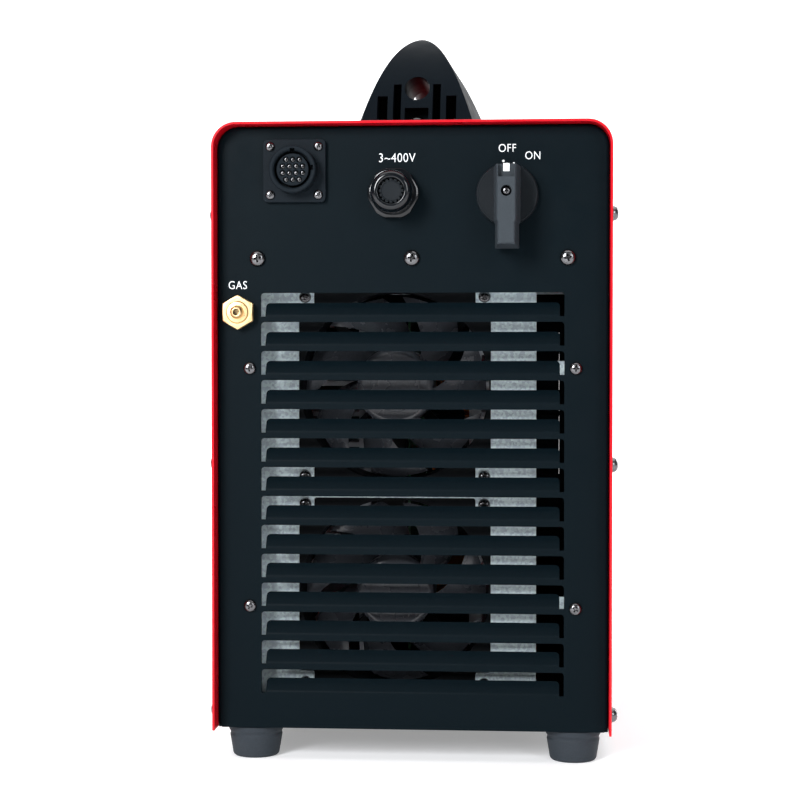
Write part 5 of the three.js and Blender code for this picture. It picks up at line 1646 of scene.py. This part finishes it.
piece("torch_socket_collar", torch_housing_mesh(), SOCKET, "case",
      ["torch_socket_housing"], sharp=32)
pin = [(0, 198), (5, 198), (5, 226), (4.6, 227), (4.6, 228), (5, 229), (5, 250), (4.4, 253), (3.4, 254),
       (1.6, 254), (1.4, 253), (1.4, 242), (0, 242)]
pin_mesh = tool(turned, softened(pin, 0.3, 3), torch_at.x, torch_at.z, 48)
piece("torch_socket_contact", pin_mesh, BRASS, "case", ["torch_socket_pin"])
torch_screws = bmesh.new()
for i, j in CORNERS:
    place = (torch_at.x + TORCH_SCREW * i, FRONT_FACE + GAP + TORCH_FLANGE, torch_at.z + TORCH_SCREW * j)
    add_screw(torch_screws, place, 3.4, FORWARD, 2.2)
piece("torch_socket_screws", torch_screws, NICKEL, "case", sharp=30)

# %% Earth socket
def earth_housing_mesh():
    x, z = earth_at.x, earth_at.z
    seat = FRONT_FACE + GAP
    profile = [(12.4, 204), (15, 204), (15, seat), (24, seat), (24, seat + 4), (21.4, seat + 6),
               (20, seat + 17.5), (18.6, seat + 19.5), (13.2, seat + 19.5), (12.4, seat + 18.7)]
    body = tool(turned, softened(profile, 0.5, 3, closed=True), x, z, 120, True)
    cutters = []
    for i in range(12):
        angle = math.radians(30 * i + 15)
        flute = [(0, seat + 7), (1.6, seat + 8.5), (1.9, seat + 22), (0, seat + 22)]
        cutters.append(tool(turned, flute, x + 21.0 * math.cos(angle), z + 21.0 * math.sin(angle), 20))
    return carved(body, cutters)


def earth_insert_mesh():
    x, z = earth_at.x, earth_at.z
    profile = [(0, 198), (6, 198), (6, 206), (12, 206), (12, 243.2), (11.4, 244), (7.6, 244),
               (6.8, 243.2), (6.8, 222), (0, 222)]
    body = tool(turned, softened(profile, 0.25, 2), x, z, 72)
    key = tool(block, (x, 226, z + 5), (x + 2.6, 250, z + 9.4))
    return carved(body, [key])


piece("earth_socket_collar", earth_housing_mesh(), SOCKET, "case", ["earth_socket_housing"],
      bevel=0.2, sharp=32)
piece("earth_socket_bush", earth_insert_mesh(), BRASS, "case", ["earth_socket_insert"],
      bevel=0.15, sharp=32)
print("sockets at height", round(torch_at.z, 1), "mm")

# %% [markdown]
# ## The works inside
# Through the louvres and the side slots one sees the shelf, the sinks and the windings. The
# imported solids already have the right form, so they stay: each gets its finish, a Decimate
# that merges flat triangles, and a Bevel for its edges. The round ones are turned again,
# because their packed forms have few sides.

# %% Carried-over nodes
def dressed(node, finish, edge=0.4):
    """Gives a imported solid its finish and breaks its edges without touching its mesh."""
    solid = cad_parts[node]
    solid.data.materials.clear()
    solid.data.materials.append(finish)
    flat = solid.modifiers.new("merge flats", "DECIMATE")
    flat.decimate_type = "DISSOLVE"
    flat.angle_limit = math.radians(1)
    broken_edges(solid, edge, 35)


for node, finish, edge in (
    ("base_pan", BLACK, 0.3), ("mid_shelf", GALVANISED, 0.3), ("switch_body", SOCKET, 1.0),
    ("gas_inlet_hose", HOSE, 0.2), ("gas_torch_hose", HOSE, 0.2), ("gas_valve_body", BRASS, 0.6),
    ("gas_valve_coil", BLACK_MOULDING_AND_BORE_SHADE, 1.5), ("heatsink_left", SINK, 0.3), ("heatsink_right", SINK, 0.3),
    ("igbt_module", BLACK_MOULDING_AND_BORE_SHADE, 1.0), ("rectifier_module", BLACK_MOULDING_AND_BORE_SHADE, 1.0), ("power_board", BOARD, 0.2),
    ("control_board", BOARD, 0.2), ("transformer_core", FERRITE, 0.8), ("transformer_coil", COPPER, 1.5),
    ("switch_shaft", NICKEL, 0.3), ("current_potentiometer", NICKEL, 0.3),
):
    dressed(node, finish, edge)

# %% Capacitors and choke
def capacitor_mesh(node):
    low, high = span(node)
    bm = bmesh.new()
    tall = high.z - low.z
    can = [(0, 0), (24, 0), (25, 1), (25, 5), (24, 6.5), (25, 8), (25, tall - 2.5), (24, tall - 1.2),
           (22.6, tall - 1.6), (0, tall - 1.6)]
    turned(bm, softened(can, 0.5, 3), segments=80)
    for side in SIDES:
        post = [(0, tall), (4, tall), (4.6, tall - 0.5), (4.6, tall - 2), (0, tall - 2)]
        turned(bm, post, side * 11, 0, 32)
    x, y = (low.x + high.x) / 2, (low.y + high.y) / 2
    upright = Matrix(((1, 0, 0, x), (0, 0, -1, y), (0, 1, 0, low.z), (0, 0, 0, 1)))
    moved(bm, upright)
    return bm


for number in (1, 2):
    piece(f"capacitor_can_{number}", capacitor_mesh(f"bus_capacitor_{number}"), SLEEVE, "case",
          [f"bus_capacitor_{number}"])

choke_low, choke_high = span("output_choke")
CHOKE_BORE = 18


def choke_mesh(wires=44, sides=10):
    """A ring core wound with thick wire: each turn is a closed loop round the core's section."""
    bm = bmesh.new()
    centre = (choke_low + choke_high) / 2
    half_wide = (choke_high.x - choke_low.x) / 2
    half_deep = (choke_high.y - choke_low.y) / 2
    wire = 1.45
    middle_radius = (half_wide + CHOKE_BORE) / 2
    half_thick = (half_wide - CHOKE_BORE) / 2
    section = rectangle(middle_radius, 0, half_thick - wire, half_deep - wire, 5, 5)
    under_wire = 2.6 * wire
    core = rectangle(middle_radius, 0, half_thick - under_wire, half_deep - under_wire, 4, 4)
    turned(bm, core, segments=96, closed=True)
    for i in range(wires):
        start = len(bm.verts)
        rings = []
        count = len(section)
        for j, (radius, depth) in enumerate(section):
            ahead = Vector(section[(j + 1) % count]) - Vector(section[j - 1])
            outward = Vector((ahead.y, -ahead.x)).normalized()
            loop = []
            for k in range(sides):
                angle = 2 * math.pi * k / sides
                swell = wire * math.cos(angle)
                loop.append((radius + outward.x * swell, depth + outward.y * swell, wire * math.sin(angle)))
            rings.append(row(bm, loop))
        skin(bm, rings, along=True)
        moved(bm, Matrix.Rotation(2 * math.pi * i / wires, 4, "Y"), start)
    moved(bm, Matrix.Translation(centre))
    return bm


piece("choke_winding", choke_mesh(), COPPER, "case", ["output_choke"], sharp=60)
print("nodes kept from the frame:", sum(1 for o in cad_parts.values() if not o.hide_render))

# %% [markdown]
# ## Printing on the rear panel
# The panel has a few plain words for what each fitting is. They are text curves turned into
# thin meshes, because a print has a thickness too, and stand a hair's breadth off the coat.

# %% Rear lettering
words = bmesh.new()
for text, x, z, high in (
    ("GAS", gas_at.x - 0.8, 293.2, 4.9), ("3~400V", gland_at.x + 2.1, 370.6, 5.4),
    ("OFF", switch_at.x, 376.0, 4.8), ("ON", switch_at.x + 15.4, 371.4, 4.8),
):
    lettering(words, text, x, z, high)
for across, up, size in ((-2.4, 20.5, 0.75), (-0.2, 19.3, 0.3), (3.9, 19.2, 0.55)):
    plate(words, [circle(switch_at.x + across, switch_at.z + up, size, 16)], REAR_FACE - 0.06, REAR_FACE, 0.0)
piece("rear_words", words, PRINT, "case")

# %% [markdown]
# ## Stage, light and camera
# A pale sweep takes the place of a studio floor and wall. It glows a little, like a light
# table, so the shadow under the case stays soft. One wide light hangs above, and a soft box
# stands at each side of the camera, the left one much stronger, so the fittings throw their
# shadows to the right. Nothing bright stands straight behind the camera, so black stays black.

# %% Stage
FLOOR_REACH = 6000
SWEEP_RADIUS = 1500


def sweep_mesh():
    bm = bmesh.new()
    line = [(-FLOOR_REACH, 0)]
    line += arc(SWEEP_RADIUS, SWEEP_RADIUS, SWEEP_RADIUS, -90, 0, 15)
    line.append((2 * SWEEP_RADIUS, FLOOR_REACH))
    rings = [row(bm, [(side * FLOOR_REACH, y, z) for side in SIDES]) for y, z in line]
    skin(bm, rings, around=False)
    return bm


floor_finish = Finish("pale studio paper", (0.86, 0.86, 0.87, 1), 0.9,
                      Emission_Color=(1, 1, 1, 1), Emission_Strength=0.3)
floor_finish.tint(floor_finish.noise(400, 2), 0.99, 1.01)
sweep = sweep_mesh()
bmesh.ops.scale(sweep, vec=(MM, MM, MM), verts=sweep.verts)
sweep_data = bpy.data.meshes.new("studio_sweep")
sweep.to_mesh(sweep_data)
sweep.free()
sweep_data.shade_smooth()
sweep_data.materials.append(floor_finish.material)
floor = bpy.data.objects.new("studio_sweep", sweep_data)
bpy.context.scene.collection.objects.link(floor)
print("sweep rises behind at y = 1.5 m")

# %% Light and camera
def soft_box(name, place, aim, size, power, tone=(1, 1, 1)):
    light = bpy.data.lights.new(name, "AREA")
    light.shape = "RECTANGLE"
    light.size, light.size_y = size
    light.energy = power
    light.color = tone
    lamp = bpy.data.objects.new(name, light)
    lamp.location = place
    direction = Vector(aim) - Vector(place)
    lamp.rotation_euler = direction.to_track_quat("-Z", "Y").to_euler()
    bpy.context.scene.collection.objects.link(lamp)


AIM = (0, -0.1, 0.22)
soft_box("overhead", (0, 0.3, 2.6), (0, 0.3, 0), (3.4, 3.4), 62)
soft_box("left_box", (-1.0, -2.2, 1.1), AIM, (0.7, 1.0), 66, (0.97, 0.98, 1.0))
soft_box("right_box", (1.2, -2.1, 0.9), AIM, (0.6, 1.0), 16, (0.95, 0.97, 1.0))
soft_box("rim_strip", (1.5, 0.9, 0.7), AIM, (0.4, 1.4), 14)
soft_box("back_wash", (0, 1.0, 2.4), (0, 3.0, 1.2), (3.5, 0.8), 70)

world = bpy.data.worlds.new("studio")
world.use_nodes = True
tree = world.node_tree
backdrop = tree.nodes["Background"]
backdrop.inputs["Color"].default_value = (1, 1, 1, 1)
seen = tree.nodes.new("ShaderNodeLightPath")
brightness = tree.nodes.new("ShaderNodeMapRange")
brightness.inputs["To Min"].default_value = 0.08
brightness.inputs["To Max"].default_value = 1.0
tree.links.new(seen.outputs["Is Camera Ray"], brightness.inputs["Value"])
tree.links.new(brightness.outputs[0], backdrop.inputs["Strength"])
bpy.context.scene.world = world
bpy.context.scene.view_settings.view_transform = "Standard"

camera_data = bpy.data.cameras.new("camera")
camera_data.lens = 85.2
camera_data.sensor_width = 36
camera = bpy.data.objects.new("camera", camera_data)
camera.location = (0.0818, -1.383, 0.2515)
sight = Vector((-0.0063, -0.24, 0.223)) - camera.location
camera.rotation_euler = sight.to_track_quat("-Z", "Y").to_euler()
bpy.context.scene.collection.objects.link(camera)
bpy.context.scene.camera = camera
print("camera stands", round((camera.location - Vector(AIM)).length, 2), "m away")

# %% Count the pieces
print("pieces made:", len(made))
